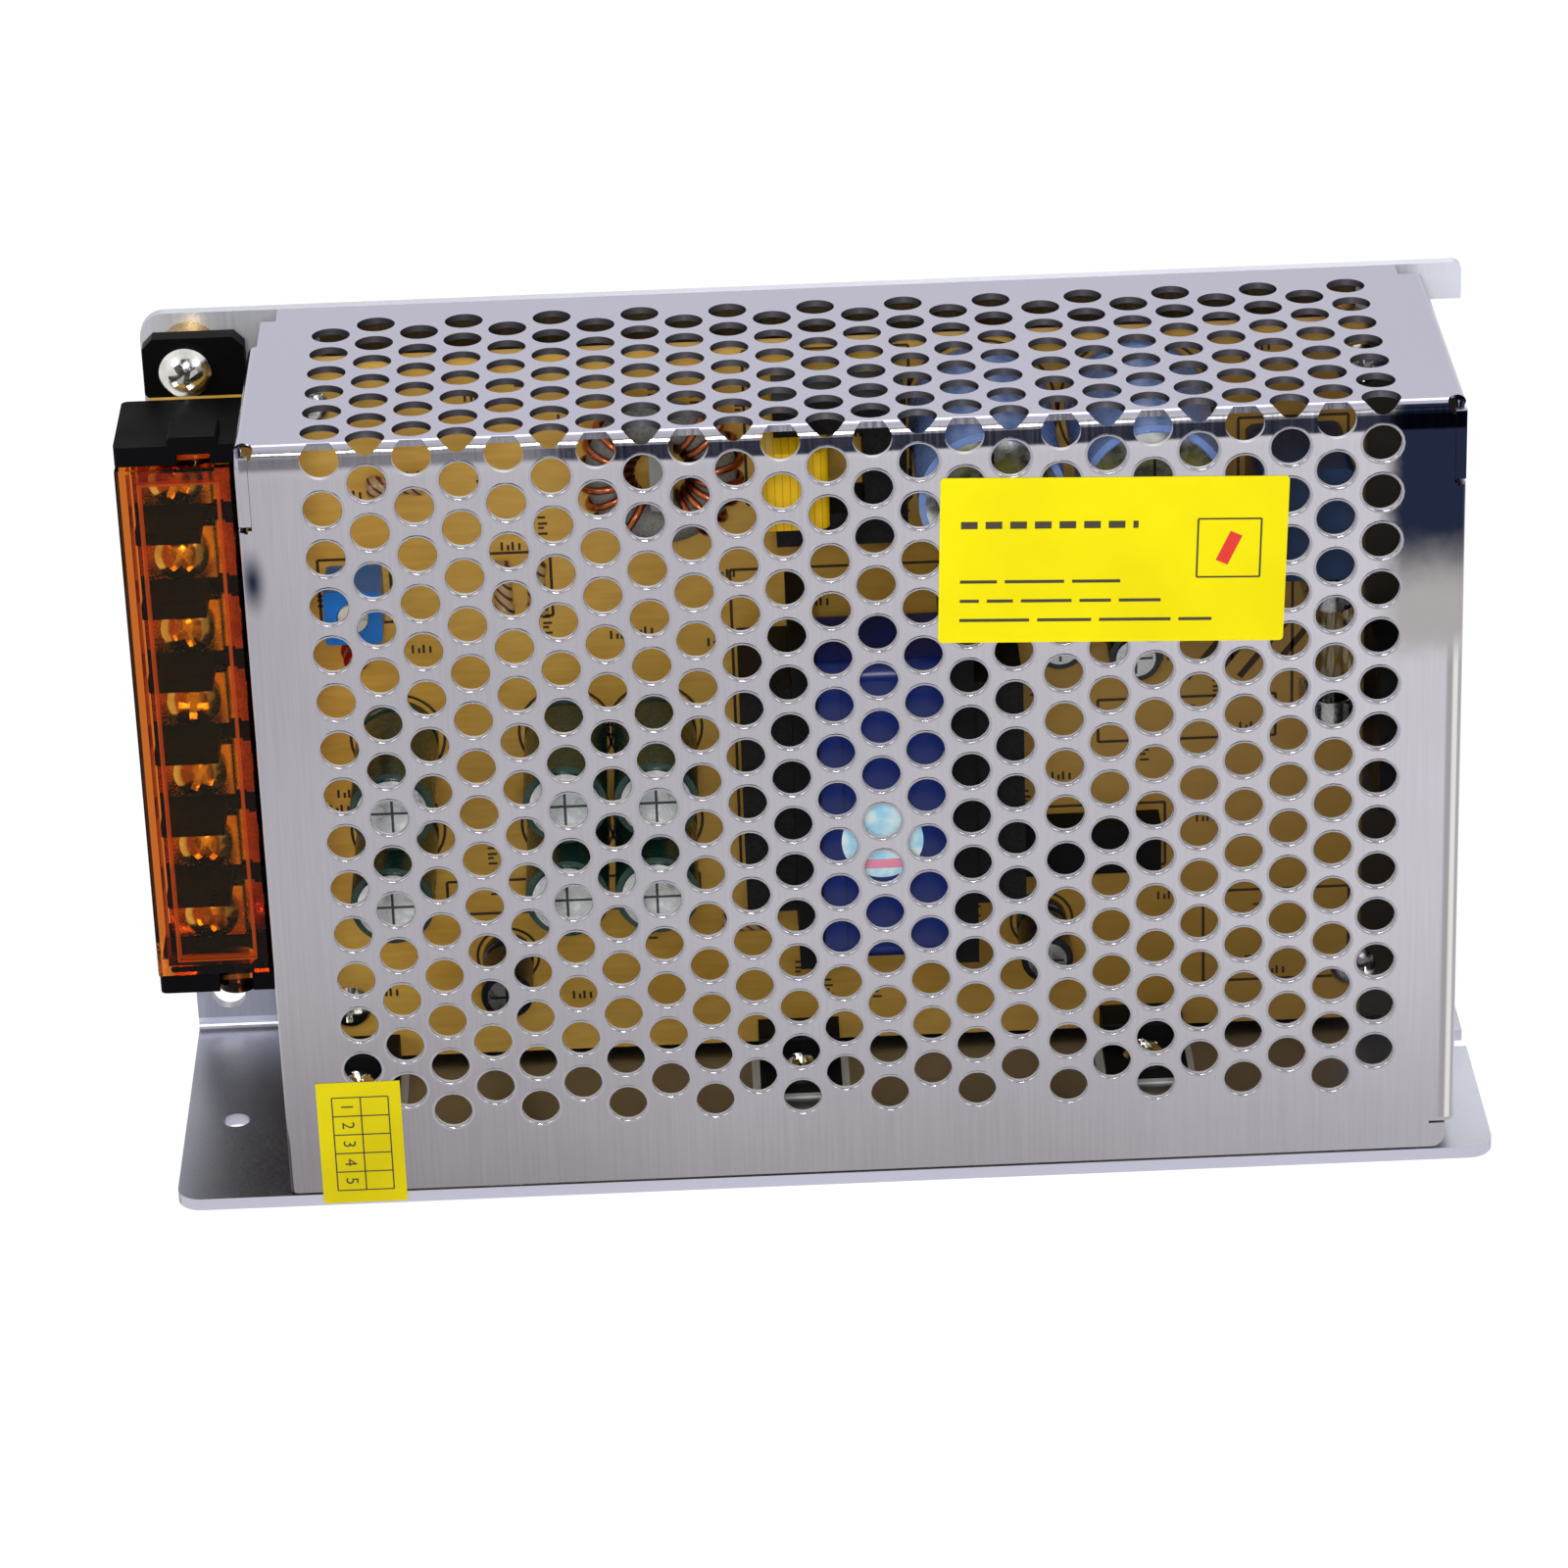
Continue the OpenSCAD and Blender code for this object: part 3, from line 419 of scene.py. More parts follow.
# a bead turned round each hole: (radius + out) * (cos a, sin a) in the sheet, up off the sheet by its height
def ventLips(settings):
    step = settings["pitch"] * math.sqrt(3) / 2
    k = np.arange(settings["columns"])
    spread = (settings["columns"] - 1) * step + settings["strokeStep"]
    x = settings["left"] + (settings["right"] - settings["left"] - spread) / 2 + k * step
    x = x + np.where(k >= settings["strokeColumns"], settings["strokeStep"], 0.0)
    odd = (k % 2)[:, None]
    across, down = np.meshgrid(x, np.arange(settings["frontRows"]), indexing="ij")
    z = settings["topZ"] - settings["firstFront"] - odd * settings["pitch"] / 2 - down * settings["pitch"]
    keep = (down >= 1 - odd) & (down <= settings["frontRows"] - 1 - odd)
    across, z = across[keep][:, None], z[keep][:, None]
    turn = np.linspace(0, 2 * np.pi, settings["segments"], endpoint=False)
    out, up = np.array(settings["bead"]).T
    reach = (settings["radius"] + out)[:, None]
    ringX, ringZ = (reach * np.cos(turn)).ravel(), (reach * np.sin(turn)).ravel()
    ringUp = np.repeat(up, settings["segments"])
    points = np.stack(np.broadcast_arrays(across + ringX, -ringUp, z + ringZ), -1)
    start = np.arange(len(points)) * points.shape[1]
    faces = ringQuads(len(out), settings["segments"])[None] + start[:, None, None]
    return points.reshape(-1, 3), faces.reshape(-1, 4)


points, faces = ventLips(ventSet)
lips = newPiece("ventLips", points, faces, lipSteel, "perforated_sheet")
lips.data.polygons.foreach_set("use_smooth", np.ones(len(faces), bool))
print("vent lips", len(faces), "faces")

# corners of the front sheet beside the end flaps: boxes between two corners, edges drawn in by a small chamfer
tabSet = dict(chamfer=0.08, boxes=[((14.25, -0.003, 88.4), (15.32, 0.78, 96.85)),
                                   ((151.62, -0.003, 88.4), (152.93, 0.78, 96.85))])


# rings of a rectangle carried up a profile of insets and depths: from the back, over the chamfer, to the middle
def chamferedBox(low, high, axis, chamfer):
    low, high = np.array(low, float), np.array(high, float)
    u, v = [n for n in range(3) if n != axis]
    nearly = 0.98  # of the way to the middle, so that the last ring keeps an area
    inset = np.array([0.0, 0.0, chamfer, min(high[u] - low[u], high[v] - low[v]) / 2 * nearly])
    side = np.sign(high[axis] - low[axis])
    depth = np.array([high[axis], low[axis] + side * chamfer, low[axis], low[axis]])
    ring = np.array([(0, 0), (1, 0), (1, 1), (0, 1)], float)
    points = np.empty((4, 4, 3))
    for n, way in enumerate((u, v)):
        points[..., way] = low[way] + inset[:, None] + ring[:, n] * (high[way] - low[way] - 2 * inset[:, None])
    points[..., axis] = depth[:, None]
    points = points.reshape(-1, 3)
    faces = np.concatenate([ringQuads(4, 4), [[12, 13, 14, 15]], [[3, 2, 1, 0]]])  # closed at both ends
    at = points[faces] - points.mean(0)
    inward = np.einsum("ij,ij->i", at.mean(1), np.cross(at[:, 1] - at[:, 0], at[:, 2] - at[:, 0])).sum() < 0
    return points, faces[:, ::-1] if inward else faces


def boxes(settings, axis):
    made = [chamferedBox(low, high, axis, settings["chamfer"]) for low, high in settings["boxes"]]
    points = np.concatenate([p for p, f in made])
    return points, np.concatenate([f + len(p) * n for n, (p, f) in enumerate(made)])


newPiece("frontTabs", *boxes(tabSet, 1), coverSteel, "perforated_sheet")
print("front tabs made")


# patches in mm, and how far they change the roughness
plasticSet = dict(ior=1.53, patch=9.0, glossier=0.07, duller=0.09)


# ABS, nylon or epoxy moulded against a spark-eroded tool: satin, with a fine even grain and duller patches
def mouldedPlastic(name, colour, rough, grit=0.25, relief=0.35, shine=0.3):
    material, tree, shader, place = startMaterial(name, colour, {"Roughness": rough, "IOR": plasticSet["ior"],
                                                                 "Specular IOR Level": shine})
    grain = addNode(tree, "TexNoise", {"Scale": 1 / grit, "Detail": 2.0}, {"Vector": place})
    cloud = addNode(tree, "TexNoise", {"Scale": 1 / plasticSet["patch"], "Detail": 3.0}, {"Vector": place})
    mottle = addNode(tree, "MapRange", {**mostNoise, "To Min": rough - plasticSet["glossier"],
                                        "To Max": rough + plasticSet["duller"]}, {"Value": cloud})
    bump = addNode(tree, "Bump", {"Strength": relief, "Distance": 0.00003}, {"Height": grain})
    wire(tree, shader, {"Roughness": mottle, "Normal": bump})
    return material


blackNylon = mouldedPlastic("mouldedBlackNylon", "#0D0D0F", 0.42, shine=0.012)
blackEpoxy = mouldedPlastic("mouldedBlackEpoxy", "#111113", 0.55, 0.12, shine=0.1)
dress(blackNylon, "terminal_block")
dress(blackEpoxy, "bridge_rectifier", "power_devices", "control_ic")
dress(mouldedPlastic("sawnBlackLaminate", "#0C0C0D", 0.36, shine=0.012), "corner_plate")
dress(mouldedPlastic("mouldedBlackBobbin", "#0C0C0D", 0.5, shine=0.08), "transformer_bobbin")
dress(mouldedPlastic("mouldedGreySpacer", "#8F8E8B", 0.5), "choke_divider")
dress(mouldedPlastic("mouldedIvoryRotor", "#DCD8C8", 0.45), "trimmer_rotor")
dress(mouldedPlastic("mouldedBlueTrimmer", "#1E72C8", 0.3), "trimmer_body")
dress(mouldedPlastic("pressedSiliconePad", "#CFCFC9", 0.7, 0.4), "device_pads")
dress(mouldedPlastic("dippedGreenThermistor", "#1F3128", 0.45, 0.8), "thermistor")
dress(mouldedPlastic("castNavyEpoxy", "#0B2A50", 0.28, 0.6, 0.2), "film_capacitor")


# the box of a CAD node in mm from the case's corner
def cornersOf(name):
    return [np.array(p) * 1000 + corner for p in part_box(name)]


# borders in mm; the ior is low, so that a thin sheet neither veils nor bends what lies behind
lidSet = dict(colour="#EFBB5C", deep="#BE6420", edge="#C9581B", rough=0.02, ior=1.18, ripple=5.0,
              left=2.7, right=1.5, ends=2.0, pins=3.3, rim=0.22, rimClear=0.55)


# clear polycarbonate dyed amber, moulded smooth: dark over the black block, with a painted highlight in orange along
# the window's rim, where an edge gathers light
def amberLid(settings):
    material, tree, shader, place = startMaterial("mouldedAmberPolycarbonate", settings["colour"],
                                                  {"IOR": settings["ior"], "Roughness": settings["rough"]})
    axes = addNode(tree, "SeparateXYZ", {}, {0: place})
    low, high = cornersOf("terminal_lid")
    end = settings["pins"] + settings["ends"]
    inset = None  # how far a point lies inside the window's edge, negative on the border
    for axis, sign, line in ((0, 1, low[0] + settings["left"]), (0, -1, high[0] - settings["right"]),
                             (2, 1, low[2] + end), (2, -1, high[2] - end)):
        reach = addNode(tree, "Math", {**timesPlus, 1: sign, 2: -sign * float(line)}, {0: axes.outputs[axis]})
        inset = reach if inset is None else addNode(tree, "Math", smallest, {0: inset, 1: reach})
    border = addNode(tree, "Math", {"operation": "LESS_THAN", 1: 0.0}, {0: inset})
    # the rim is a painted highlight: an orange line, less clear than the rest of the window
    rim = addNode(tree, "Math", {"operation": "COMPARE", 1: 0.0, 2: settings["rim"]}, {0: inset})
    colour = addNode(tree, "Mix", {**twoTones, 6: toLinear(settings["colour"]), 7: toLinear(settings["deep"])},
                     {0: border})
    colour = addNode(tree, "Mix", {**twoTones, 7: toLinear(settings["edge"])}, {0: rim, 6: colour})
    clear = addNode(tree, "MapRange", {"To Min": 1.0, "To Max": settings["rimClear"]}, {"Value": rim})
    ripple = addNode(tree, "TexNoise", {"Scale": 1 / settings["ripple"], "Detail": 1.0}, {"Vector": place})
    bump = addNode(tree, "Bump", {"Strength": 0.03, "Distance": 0.0001}, {"Height": ripple})
    wire(tree, shader, {"Base Color": colour, "Transmission Weight": clear, "Normal": bump})
    return material


dress(amberLid(lidSet), "terminal_lid")

# a cap over the hinge pin's upper end: a box drawn in by a chamfer, mm
capSet = dict(pinX=7.6, half=2.9, depth=5.6, cover=1.1, proud=0.95, ahead=0.06, chamfer=0.25)
low, high = cornersOf("terminal_block")
capSet["boxes"] = [((capSet["pinX"] - capSet["half"], low[1] - capSet["ahead"], high[2] + capSet["proud"]),
                    (capSet["pinX"] + capSet["half"], low[1] + capSet["depth"], high[2] - capSet["cover"]))]
newPiece("pinCap", *boxes(capSet, 2), blackNylon, "black_plastic")
print("mouldings dressed")


# patches in mm, and how far scratches change the roughness
platingSet = dict(patch=2.2, scratch=0.3, smoother=0.06, rougher=0.08)


# plated steel or bare metal, tumbled or turned: clear glints broken by fine scratches
def platedMetal(name, light, dark, rough):
    material, tree, shader, place = startMaterial(name, light, {"Metallic": 1.0, "Roughness": rough})
    cloud = addNode(tree, "TexNoise", {"Scale": 1 / platingSet["patch"], "Detail": 4.0}, {"Vector": place})
    fine = addNode(tree, "TexNoise", {"Scale": 1 / platingSet["scratch"], "Detail": 2.0}, {"Vector": place})
    tone = addNode(tree, "MapRange", midNoise, {"Value": cloud})
    colour = addNode(tree, "Mix", {**twoTones, 6: toLinear(dark), 7: toLinear(light)}, {0: tone})
    worn = addNode(tree, "MapRange", {**mostNoise, "To Min": rough - platingSet["smoother"],
                                      "To Max": rough + platingSet["rougher"]}, {"Value": fine})
    wire(tree, shader, {"Base Color": colour, "Roughness": worn})
    return material


terminals = range(1, 8)
dress(platedMetal("brightZincPlatedSteel", "#E6E4DE", "#C9C7C2", 0.16), "corner_screw", "pcb_screws", "device_screws")
dress(platedMetal("yellowPassivatedZincSteel", "#D9B765", "#B98F45", 0.24), "terminal_plates",
      *[f"terminal_clamp_{n}" for n in terminals])
dress(platedMetal("nickelPlatedScrew", "#D8C79C", "#B99F6C", 0.2), *[f"terminal_screw_{n}" for n in terminals])
dress(platedMetal("turnedBrass", "#C9A862", "#A8854A", 0.25), "corner_boss", "pcb_standoffs")
dress(platedMetal("tinnedSpringBrass", "#C9CACB", "#A9AAAC", 0.28), "fuse_caps", "fuse_clips")
print("fasteners dressed")


# pressed and fired ferrite: dark grey, dry, with a fine stony fleck
def firedFerrite(name, colour, fleck, rough=0.5, size=0.5):
    material, tree, shader, place = startMaterial(name, colour, {"Roughness": rough, "Specular IOR Level": 0.12})
    grit = addNode(tree, "TexVoronoi", {"Scale": 1 / size}, {"Vector": place})
    tone = addNode(tree, "MapRange", {"From Min": 0.1, "From Max": 0.6}, {"Value": grit.outputs["Distance"]})
    colour = addNode(tree, "Mix", {**twoTones, 6: toLinear(colour), 7: toLinear(fleck)}, {0: tone})
    bump = addNode(tree, "Bump", {"Strength": 0.4, "Distance": 0.00005}, {"Height": grit.outputs["Distance"]})
    wire(tree, shader, {"Base Color": colour, "Normal": bump})
    return material


dress(firedFerrite("firedBlackFerrite", "#0B0A0B", "#171516"), "transformer_core", "driver_core")
dress(firedFerrite("coatedGreyFerrite", "#6B6A66", "#82817C"), "output_choke_core")


# a plain surface whose two tones drift into each other over patches of that many mm
def driftingTones(name, first, second, patch, detail, sockets):
    material, tree, shader, place = startMaterial(name, first, sockets)
    drift = addNode(tree, "TexNoise", {"Scale": 1 / patch, "Detail": detail}, {"Vector": place})
    colour = addNode(tree, "Mix", {**twoTones, 6: toLinear(first), 7: toLinear(second)}, {0: drift})
    wire(tree, shader, {"Base Color": colour})
    return material


# enamelled copper wire: warm metal under a clear reddish varnish
varnish = {"Metallic": 1.0, "Roughness": 0.3, "Coat Weight": 0.6, "Coat Roughness": 0.15}
dress(driftingTones("enamelledCopperWire", "#8E3F1C", "#CC7440", 2.5, 3.0, varnish), "output_choke_winding")


# laps, lines and creases in mm; how much painted shade a crease puts on the tape
blueSet = dict(colour="#0C1F60", edge="#081438", lap=7.4, line=0.25, crease=3.0, creased=(0.35, -0.08))
yellowSet = dict(colour="#E6B90C", edge="#A87C06", lap=0.9, line=0.1, crease=3.0, creased=(0.35, -0.08))


# polyester tape wound tight: glossy, with the edge of each lap showing as a thin darker line
def woundTape(name, settings):
    material, tree, shader, place = startMaterial(name, settings["colour"],
                                                  {"Roughness": 0.3, "Specular IOR Level": 0.3})
    axes = addNode(tree, "SeparateXYZ", {}, {0: place})
    wave = addNode(tree, "Math", {"operation": "PINGPONG", 1: settings["lap"] / 2}, {0: axes.outputs[0]})
    line = addNode(tree, "MapRange", {"From Min": 0.0, "From Max": settings["line"], "To Min": 1.0, "To Max": 0.0},
                   {"Value": wave})
    crease = addNode(tree, "TexNoise", {"Scale": 1 / settings["crease"], "Detail": 3.0}, {"Vector": place})
    share, start = settings["creased"]
    # the creases get painted shade: darker where the crease noise is high
    shade = addNode(tree, "Math", {**timesPlus, 1: share, 2: start}, {0: crease})
    shade = addNode(tree, "Math", largest, {0: line, 1: shade})
    colour = addNode(tree, "Mix", {**twoTones, 6: toLinear(settings["colour"]), 7: toLinear(settings["edge"])},
                     {0: shade})
    bump = addNode(tree, "Bump", {"Strength": 0.5, "Distance": 0.0001}, {"Height": crease})
    wire(tree, shader, {"Base Color": colour, "Normal": bump})
    return material, tree, shader, place, axes, colour


# a round pale sticker on the front of the winding, with one pink line: centre, radius and half the line's width in mm
stickerSet = dict(centre=(85.8, 6.0, 43.2), radius=4.9, field="#D9EEF0", sheen="#9AD4EC", line="#E58FA6",
                  lineZ=40.2, lineHalf=0.6, patch=2.4, foil=(0.4, 0.62))


def stickeredTape(name, tape, settings):
    material, tree, shader, place, axes, colour = woundTape(name, tape)
    reach = addNode(tree, "VectorMath", {"operation": "DISTANCE", 1: settings["centre"]}, {0: place})
    inside = addNode(tree, "Math", {"operation": "LESS_THAN", 1: settings["radius"]}, {0: reach})
    near = addNode(tree, "Math", {"operation": "COMPARE", 1: settings["lineZ"], 2: settings["lineHalf"]},
                   {0: axes.outputs[2]})
    foil = addNode(tree, "TexNoise", {"Scale": 1 / settings["patch"], "Detail": 2.0}, {"Vector": place})
    start, end = settings["foil"]
    foil = addNode(tree, "MapRange", {"From Min": start, "From Max": end}, {"Value": foil})
    field = addNode(tree, "Mix", {**twoTones, 6: toLinear(settings["field"]), 7: toLinear(settings["sheen"])},
                    {0: foil})
    field = addNode(tree, "Mix", {**twoTones, 7: toLinear(settings["line"])}, {0: near, 6: field})
    both = addNode(tree, "Mix", twoTones, {0: inside, 6: colour, 7: field})
    wire(tree, shader, {"Base Color": both})
    return material


dress(stickeredTape("woundBluePolyesterTape", blueSet, stickerSet), "transformer_winding")
dress(woundTape("woundYellowPolyesterTape", yellowSet)[0], "driver_winding")
print("windings dressed")


# centres (x, z) of the cans in mm, top their front ends, score half the cross's length, side where the stripe faces
outSet = dict(sleeve="#14352B", stripe="#B8B23A", side=(-0.64, 0.0, -0.77), top=11.0, score=3.4,
              centres=[(27.5, 34.0), (28.2, 46.4), (48.3, 34.0), (48.6, 46.4), (59.0, 34.0), (59.4, 46.4)])
bulkSet = dict(sleeve="#6F88C0", stripe="#15171C", side=(-0.8, 0.0, -0.6), top=5.0, score=6.0,
               centres=[(99.5, 85.8), (118.0, 85.8)])
smallSet = dict(sleeve="#17191B", stripe="#A9ABAC", side=(0.0, 0.0, -1.0), top=21.0, score=2.0,
                centres=[(108.0, 60.0), (117.0, 58.0), (40.0, 16.0), (106.0, 18.0)])
canSet = dict(bare="#C9CCCD", cut="#4A4D50", cutHalf=0.16, rolled=0.2, dash=2.5, gap=0.7, stripeFrom=0.9,
              scuff=1.2, rough=(0.2, 0.36))


# aluminium can in a shrunk vinyl sleeve: glossy colour with a pale stripe, bare metal top scored with a cross
def sleevedCan(name, settings):
    material, tree, shader, place = startMaterial(name, settings["sleeve"], {"Roughness": 0.28})
    axes = addNode(tree, "SeparateXYZ", {}, {0: place})
    coords = addNode(tree, "TexCoord")
    facing = addNode(tree, "VectorMath", {"operation": "DOT_PRODUCT", 1: settings["side"]},
                     {0: coords.outputs["Normal"]})
    stripe = addNode(tree, "Math", {"operation": "GREATER_THAN", 1: canSet["stripeFrom"]}, {0: facing})
    dash = addNode(tree, "Math", {"operation": "PINGPONG", 1: canSet["dash"]}, {0: axes.outputs[1]})
    dash = addNode(tree, "Math", {"operation": "GREATER_THAN", 1: canSet["gap"]}, {0: dash})
    stripe = addNode(tree, "Math", times, {0: stripe, 1: dash})
    colour = addNode(tree, "Mix", {**twoTones, 6: toLinear(settings["sleeve"]), 7: toLinear(settings["stripe"])},
                     {0: stripe})
    bare = addNode(tree, "Math", {"operation": "LESS_THAN", 1: settings["top"] + canSet["rolled"]},
                   {0: axes.outputs[1]})
    score = None
    for x, z in settings["centres"]:
        off = addNode(tree, "VectorMath", {"operation": "SUBTRACT", 1: (x, settings["top"], z)}, {0: place})
        reach = addNode(tree, "VectorMath", {"operation": "LENGTH"}, {0: off})
        near = addNode(tree, "Math", {"operation": "LESS_THAN", 1: settings["score"]}, {0: reach})
        size = addNode(tree, "VectorMath", {"operation": "ABSOLUTE"}, {0: off})
        sides = addNode(tree, "SeparateXYZ", {}, {0: size})
        arm = addNode(tree, "Math", smallest, {0: sides.outputs[0], 1: sides.outputs[2]})
        arm = addNode(tree, "Math", {"operation": "LESS_THAN", 1: canSet["cutHalf"]}, {0: arm})
        arm = addNode(tree, "Math", times, {0: arm, 1: near})
        score = arm if score is None else addNode(tree, "Math", largest, {0: score, 1: arm})
    metal = addNode(tree, "Mix", {**twoTones, 6: toLinear(canSet["bare"]), 7: toLinear(canSet["cut"])}, {0: score})
    both = addNode(tree, "Mix", twoTones, {0: bare, 6: colour, 7: metal})
    scuff = addNode(tree, "TexNoise", {"Scale": 1 / canSet["scuff"], "Detail": 3.0}, {"Vector": place})
    smoother, rougher = canSet["rough"]
    rough = addNode(tree, "MapRange", {**mostNoise, "To Min": smoother, "To Max": rougher}, {"Value": scuff})
    wire(tree, shader, {"Base Color": both, "Metallic": bare, "Roughness": rough})
    return material


dress(sleevedCan("vinylSleevedCanGreen", outSet), "output_capacitors")
dress(sleevedCan("vinylSleevedCanBlue", bulkSet), "bulk_capacitors")
dress(sleevedCan("vinylSleevedCanBlack", smallSet), "small_capacitors")

# drawn glass tube, clear and smooth
glass, tree, shader, place = startMaterial("drawnSodaGlass", "#F2F7F6", {"Transmission Weight": 1.0, "IOR": 1.52,
                                                                         "Roughness": 0.02})
wavy = addNode(tree, "TexNoise", {"Scale": 1 / 4.0, "Detail": 1.0}, {"Vector": place})  # waves of about 4 mm
bump = addNode(tree, "Bump", {"Strength": 0.1, "Distance": 0.0001}, {"Height": wavy})
wire(tree, shader, {"Normal": bump})
dress(glass, "fuse_glass")

# cast epoxy lamp, dyed red and translucent
castEpoxy = {"Roughness": 0.15, "IOR": 1.53, "Transmission Weight": 0.35}
dress(driftingTones("castRedEpoxy", "#7E0D08", "#C41E12", 1.5, 1.0, castEpoxy), "indicator_led")

# half the rings' pitch, their width and the length of a hue in mm
resistorSet = dict(coat="#C8A874", red="#8C2A1A", black="#2B2A28", pitch=0.7, ring=0.22, hue=1.4)


# lacquered resistor bodies: beige coat with narrow colour rings across them
def ringedLacquer(settings):
    material, tree, shader, place = startMaterial("lacqueredCarbonFilm", settings["coat"], {"Roughness": 0.35})
    axes = addNode(tree, "SeparateXYZ", {}, {0: place})
    along = addNode(tree, "Math", {"operation": "ADD"}, {0: axes.outputs[0], 1: axes.outputs[2]})
    ring = addNode(tree, "Math", {"operation": "PINGPONG", 1: settings["pitch"]}, {0: along})
    ring = addNode(tree, "Math", {"operation": "LESS_THAN", 1: settings["ring"]}, {0: ring})
    hue = addNode(tree, "TexNoise", {"Scale": 1 / settings["hue"], "Detail": 0.0}, {"Vector": place})
    bands = addNode(tree, "Mix", {**twoTones, 6: toLinear(settings["red"]), 7: toLinear(settings["black"])}, {0: hue})
    colour = addNode(tree, "Mix", {**twoTones, 6: toLinear(settings["coat"])}, {0: ring, 7: bands})
    wire(tree, shader, {"Base Color": colour})
    return material


dress(ringedLacquer(resistorSet), "resistors")
print("board parts dressed")

# fibre and blotch in mm; the board darkens along X over its span, painted shade for light that falls from the left,
# and past a line near its right end it is dark, a painted shadow
boardSet = dict(light="#F4C65C", dark="#D9A53E", far="#A47C34", shade="#2A2015", fibre=(6.0, 0.8), blotch=22.0,
                fibreShare=0.4, shadedSpan=(40.0, 140.0, 0.9), shadeLine=145.2, soft=0.4)


# paper-phenolic board, pressed: mustard, slightly mottled, with a dull lacquer
def phenolicBoard(settings):
    material, tree, shader, place = startMaterial("pressedPaperPhenolic", settings["light"], {"Roughness": 0.42})
    long, short = settings["fibre"]
    lay = addNode(tree, "Mapping", {"Scale": (1 / long, 1.0, 1 / short)}, {"Vector": place})
    fibre = addNode(tree, "TexNoise", {"Scale": 1.0, "Detail": 4.0}, {"Vector": lay})
    blotch = addNode(tree, "TexNoise", {"Scale": 1 / settings["blotch"], "Detail": 2.0}, {"Vector": place})
    part = addNode(tree, "Math", {**times, 1: 1 - settings["fibreShare"]}, {0: blotch})
    tone = addNode(tree, "Math", {**timesPlus, 1: settings["fibreShare"]}, {0: fibre, 2: part})
    tone = addNode(tree, "MapRange", midNoise, {"Value": tone})
    colour = addNode(tree, "Mix", {**twoTones, 6: toLinear(settings["dark"]), 7: toLinear(settings["light"])},
                     {0: tone})
    axes = addNode(tree, "SeparateXYZ", {}, {0: place})
    line, soft = settings["shadeLine"], settings["soft"]
    # painted shade: a falloff along X, then a painted shadow past the line near the right end
    for (start, end, share), key in ((settings["shadedSpan"], "far"), ((line - soft, line + soft, 1.0), "shade")):
        mask = addNode(tree, "MapRange", {"From Min": start, "From Max": end, "To Max": share},
                       {"Value": axes.outputs[0]})
        colour = addNode(tree, "Mix", {**twoTones, 7: toLinear(settings[key])}, {0: mask, 6: colour})
    wire(tree, shader, {"Base Color": colour})
    return material


dress(phenolicBoard(boardSet), "pcb")


# strokes (x0, z0, x1, z1, width) become quads: each end moved half a width to both sides of the line
def strokes(lines, level):
    a, b, width = lines[:, :2], lines[:, 2:4], lines[:, 4:5]
    run = b - a
    run = run / np.linalg.norm(run, axis=1, keepdims=True)
    side = np.stack([-run[:, 1], run[:, 0]], 1) * width / 2
    flat = np.stack([a - side, b - side, b + side, a + side], 1).reshape(-1, 2)
    points = np.stack([flat[:, 0], np.full(len(flat), level), flat[:, 1]], 1)
    return points, np.arange(len(flat)).reshape(-1, 4)


# strokes from each point to the next
def strokesAlong(points, width):
    return np.hstack([points[:-1], points[1:], np.full((len(points) - 1, 1), width)])


# rings (x, z, radius), boxes and diagonals (x0, z0, x1, z1) and marks of short bars, in mm
printSet = dict(width=0.35, slantWidth=0.8, markWidth=0.3, level=31.97, ringSteps=32,
                rings=[(x, z, r) for can, r in ((outSet, 5.7), (bulkSet, 9.2), (smallSet, 3.8))
                       for x, z in can["centres"]],
                boxes=[(69.2, 26.2, 103.4, 66.8), (71.6, 75.2, 91.2, 94.8), (130.2, 68.2, 143.3, 83.8),
                       (113.2, 42.0, 134.8, 47.6), (100.2, 25.0, 121.3, 33.5), (20.0, 61.8, 28.6, 70.2),
                       (136.8, 45.0, 144.8, 67.0), (40.2, 61.8, 47.8, 70.2), (33.0, 22.0, 64.0, 26.5),
                       (126.0, 8.5, 144.0, 21.0)],
                diagonals=[(124.0 + 3.2 * n, 50.0, 130.0 + 3.2 * n, 57.5) for n in range(4)]
                + [(50.0, 70.5, 57.0, 78.5)],
                marks=95, seed=7, marksX=(19, 147), marksZ=(7, 94), upright=0.4)
square = np.array([(0, 0), (1, 0), (1, 1), (0, 1), (0, 0)], float)


def boardPrint(settings):
    turn = np.linspace(0, 2 * np.pi, settings["ringSteps"] + 1)
    ring = np.stack([np.cos(turn), np.sin(turn)], 1)
    lines = [strokesAlong(ring * r + (x, z), settings["width"]) for x, z, r in settings["rings"]]
    lines += [strokesAlong(square * (x1 - x0, z1 - z0) + (x0, z0), settings["width"])
              for x0, z0, x1, z1 in settings["boxes"]]
    slants = np.array(settings["diagonals"])
    lines.append(np.hstack([slants, np.full((len(slants), 1), settings["slantWidth"])]))
    rng = np.random.default_rng(settings["seed"])
    n = settings["marks"]
    spot = np.stack([rng.uniform(*settings["marksX"], n), rng.uniform(*settings["marksZ"], n)], 1)
    upright = (rng.random(n) < settings["upright"])[:, None, None]
    place, height = np.array([(0.0, 1.1), (0.75, 0.7), (1.3, 1.1), (2.1, 0.9)]).T  # of each bar in a mark, mm
    none = np.zeros(len(place))
    at = spot[:, None] + np.where(upright, np.stack([none, place], 1), np.stack([place, none], 1))
    to = at + np.where(upright, np.stack([height, none], 1), np.stack([none, height], 1))
    width = np.full((n * len(place), 1), settings["markWidth"])
    lines.append(np.hstack([at.reshape(-1, 2), to.reshape(-1, 2), width]))
    return strokes(np.concatenate(lines), settings["level"])


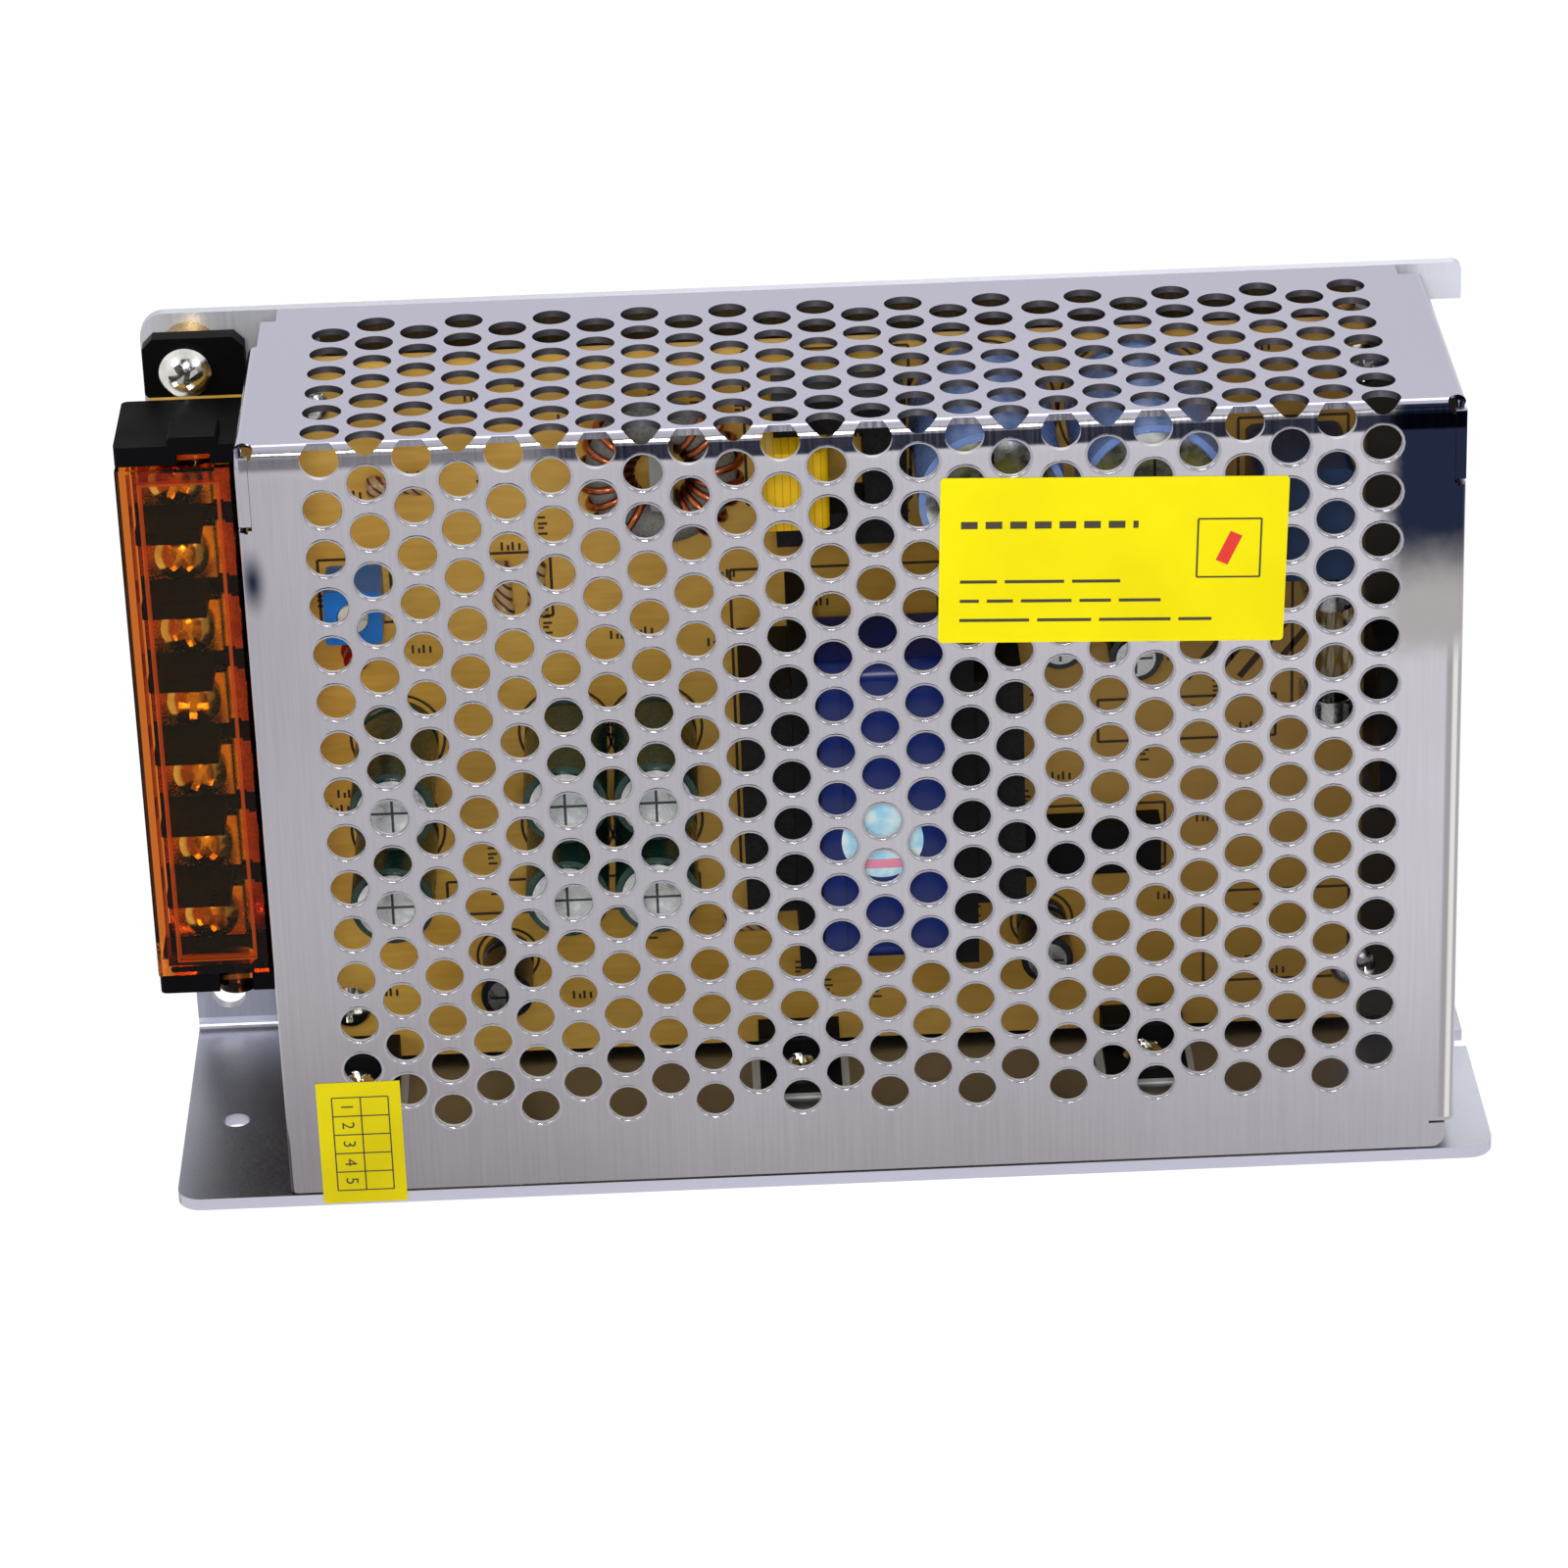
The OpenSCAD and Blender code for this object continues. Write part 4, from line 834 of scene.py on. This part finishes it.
# screen-printed ink: dark brown, matt, a little broken
ink = driftingTones("screenPrintedInk", "#2A1D0E", "#4A3518", 0.6, 2.0, {"Roughness": 0.7})
newPiece("boardPrint", *boardPrint(printSet), ink, "phenolic_board")
print("board printed")


# coated label paper, pressed flat: even yellow with a faint fibre and a slight sheen; sizes in mm
def labelPaper(name, light, dark, fibre=0.5, cloud=14.0):
    material, tree, shader, place = startMaterial(name, light, {"Roughness": 0.55, "Specular IOR Level": 0.1})
    fibre = addNode(tree, "TexNoise", {"Scale": 1 / fibre, "Detail": 3.0}, {"Vector": place})
    cloud = addNode(tree, "TexNoise", {"Scale": 1 / cloud, "Detail": 2.0}, {"Vector": place})
    tone = addNode(tree, "MapRange", {"From Min": 0.35, "From Max": 0.7}, {"Value": cloud})
    colour = addNode(tree, "Mix", {**twoTones, 6: toLinear(light), 7: toLinear(dark)}, {0: tone})
    bump = addNode(tree, "Bump", {"Strength": 0.15, "Distance": 0.00003}, {"Height": fibre})
    wire(tree, shader, {"Base Color": colour, "Normal": bump})
    return material


dress(labelPaper("coatedYellowPaper", "#EADC05", "#E2D204"), "front_label")
dress(labelPaper("coatedYellowSealPaper", "#DACA0E", "#CABA0B"), "seal_label")
# offset ink: thin and matt, a little uneven from the press
labelInk = driftingTones("offsetPrintedInk", "#26200A", "#40361A", 0.4, 2.0, {"Roughness": 0.6})
redInk = driftingTones("offsetPrintedRedInk", "#DC2A1C", "#C8261A", 0.4, 2.0, {"Roughness": 0.6})

# about the label's centre: rows of plain dashes (u, v, their lengths, height), a square (u, v, size) and a bar, mm
labelSet = dict(centre=(112.75, 80.2), turn=2.0, level=-0.12, gap=0.9, line=0.22,
                rows=[(-17.4, 4.4, (1.9,) * 7 + (0.6,), 0.9), (-17.4, -2.6, (4.2, 6.8, 5.5), 0.4),
                      (-17.4, -5.0, (2.2, 3.0, 5.8, 3.6, 4.8), 0.4), (-17.4, -7.4, (8.0, 6.2, 8.2, 3.8), 0.4)],
                square=(9.6, -2.2, 7.2), bar=[(12.4, -0.4, 14.0, 3.2, 1.5)])


# the label lies a little askew: (u cos a + v sin a, v cos a - u sin a) about its centre
def turnedPrint(lines, settings):
    points, faces = strokes(lines, settings["level"])
    a = math.radians(settings["turn"])
    u, v = points[:, 0].copy(), points[:, 2].copy()
    points[:, 0] = settings["centre"][0] + u * math.cos(a) + v * math.sin(a)
    points[:, 2] = settings["centre"][1] - u * math.sin(a) + v * math.cos(a)
    return points, faces


def labelPrint(settings):
    u, v, size = settings["square"]
    lines = [strokesAlong(square * size + (u, v), settings["line"])]
    for u, v, lengths, height in settings["rows"]:
        ends = u + np.cumsum(np.array(lengths) + settings["gap"]) - settings["gap"]
        row = np.full(len(ends), v)
        lines.append(np.stack([ends - lengths, row, ends, row, np.full(len(ends), height)], 1))
    return turnedPrint(np.concatenate(lines), settings)


newPiece("labelPrint", *labelPrint(labelSet), labelInk, "yellow_paper")
newPiece("labelMark", *turnedPrint(np.array(labelSet["bar"]), labelSet), redInk, "yellow_paper")

# the seal's table: two columns, five rows, plain numbers that read from the right-hand side
sealSet = dict(x=(19.4, 22.8, 26.1), z=(2.0, 14.6), rows=5, width=0.16, level=-0.12, numberSize=2.1)


def sealPrint(settings):
    x, z = np.array(settings["x"]), np.linspace(*settings["z"], settings["rows"] + 1)
    upright = np.stack(np.broadcast_arrays(x, z[0], x, z[-1], settings["width"]), 1)
    level = np.stack(np.broadcast_arrays(x[0], z, x[-1], z, settings["width"]), 1)
    points, faces = strokes(np.concatenate([upright, level]), settings["level"])
    allPoints, allFaces = [points], faces.tolist()
    count = len(points)
    for row in range(settings["rows"]):
        curve = bpy.data.curves.new("number", "FONT")
        curve.body = str(row + 1)
        curve.size = settings["numberSize"]
        curve.align_x, curve.align_y = "CENTER", "CENTER"
        holder = bpy.data.objects.new("number", curve)
        mesh = bpy.data.meshes.new_from_object(holder)
        flat = np.empty(len(mesh.vertices) * 3)
        mesh.vertices.foreach_get("co", flat)
        u, v = flat.reshape(-1, 3)[:, :2].T
        middle = (z[-1 - row] + z[-2 - row]) / 2
        allPoints.append(np.stack([v + (x[0] + x[1]) / 2, np.full(len(u), settings["level"]), middle - u], 1))
        allFaces += [[n + count for n in p.vertices] for p in mesh.polygons]
        count += len(u)
        bpy.data.meshes.remove(mesh)
        bpy.data.objects.remove(holder)
        bpy.data.curves.remove(curve)
    return np.concatenate(allPoints), allFaces


newPiece("sealPrint", *sealPrint(sealSet), labelInk, "yellow_paper")
print("labels printed")
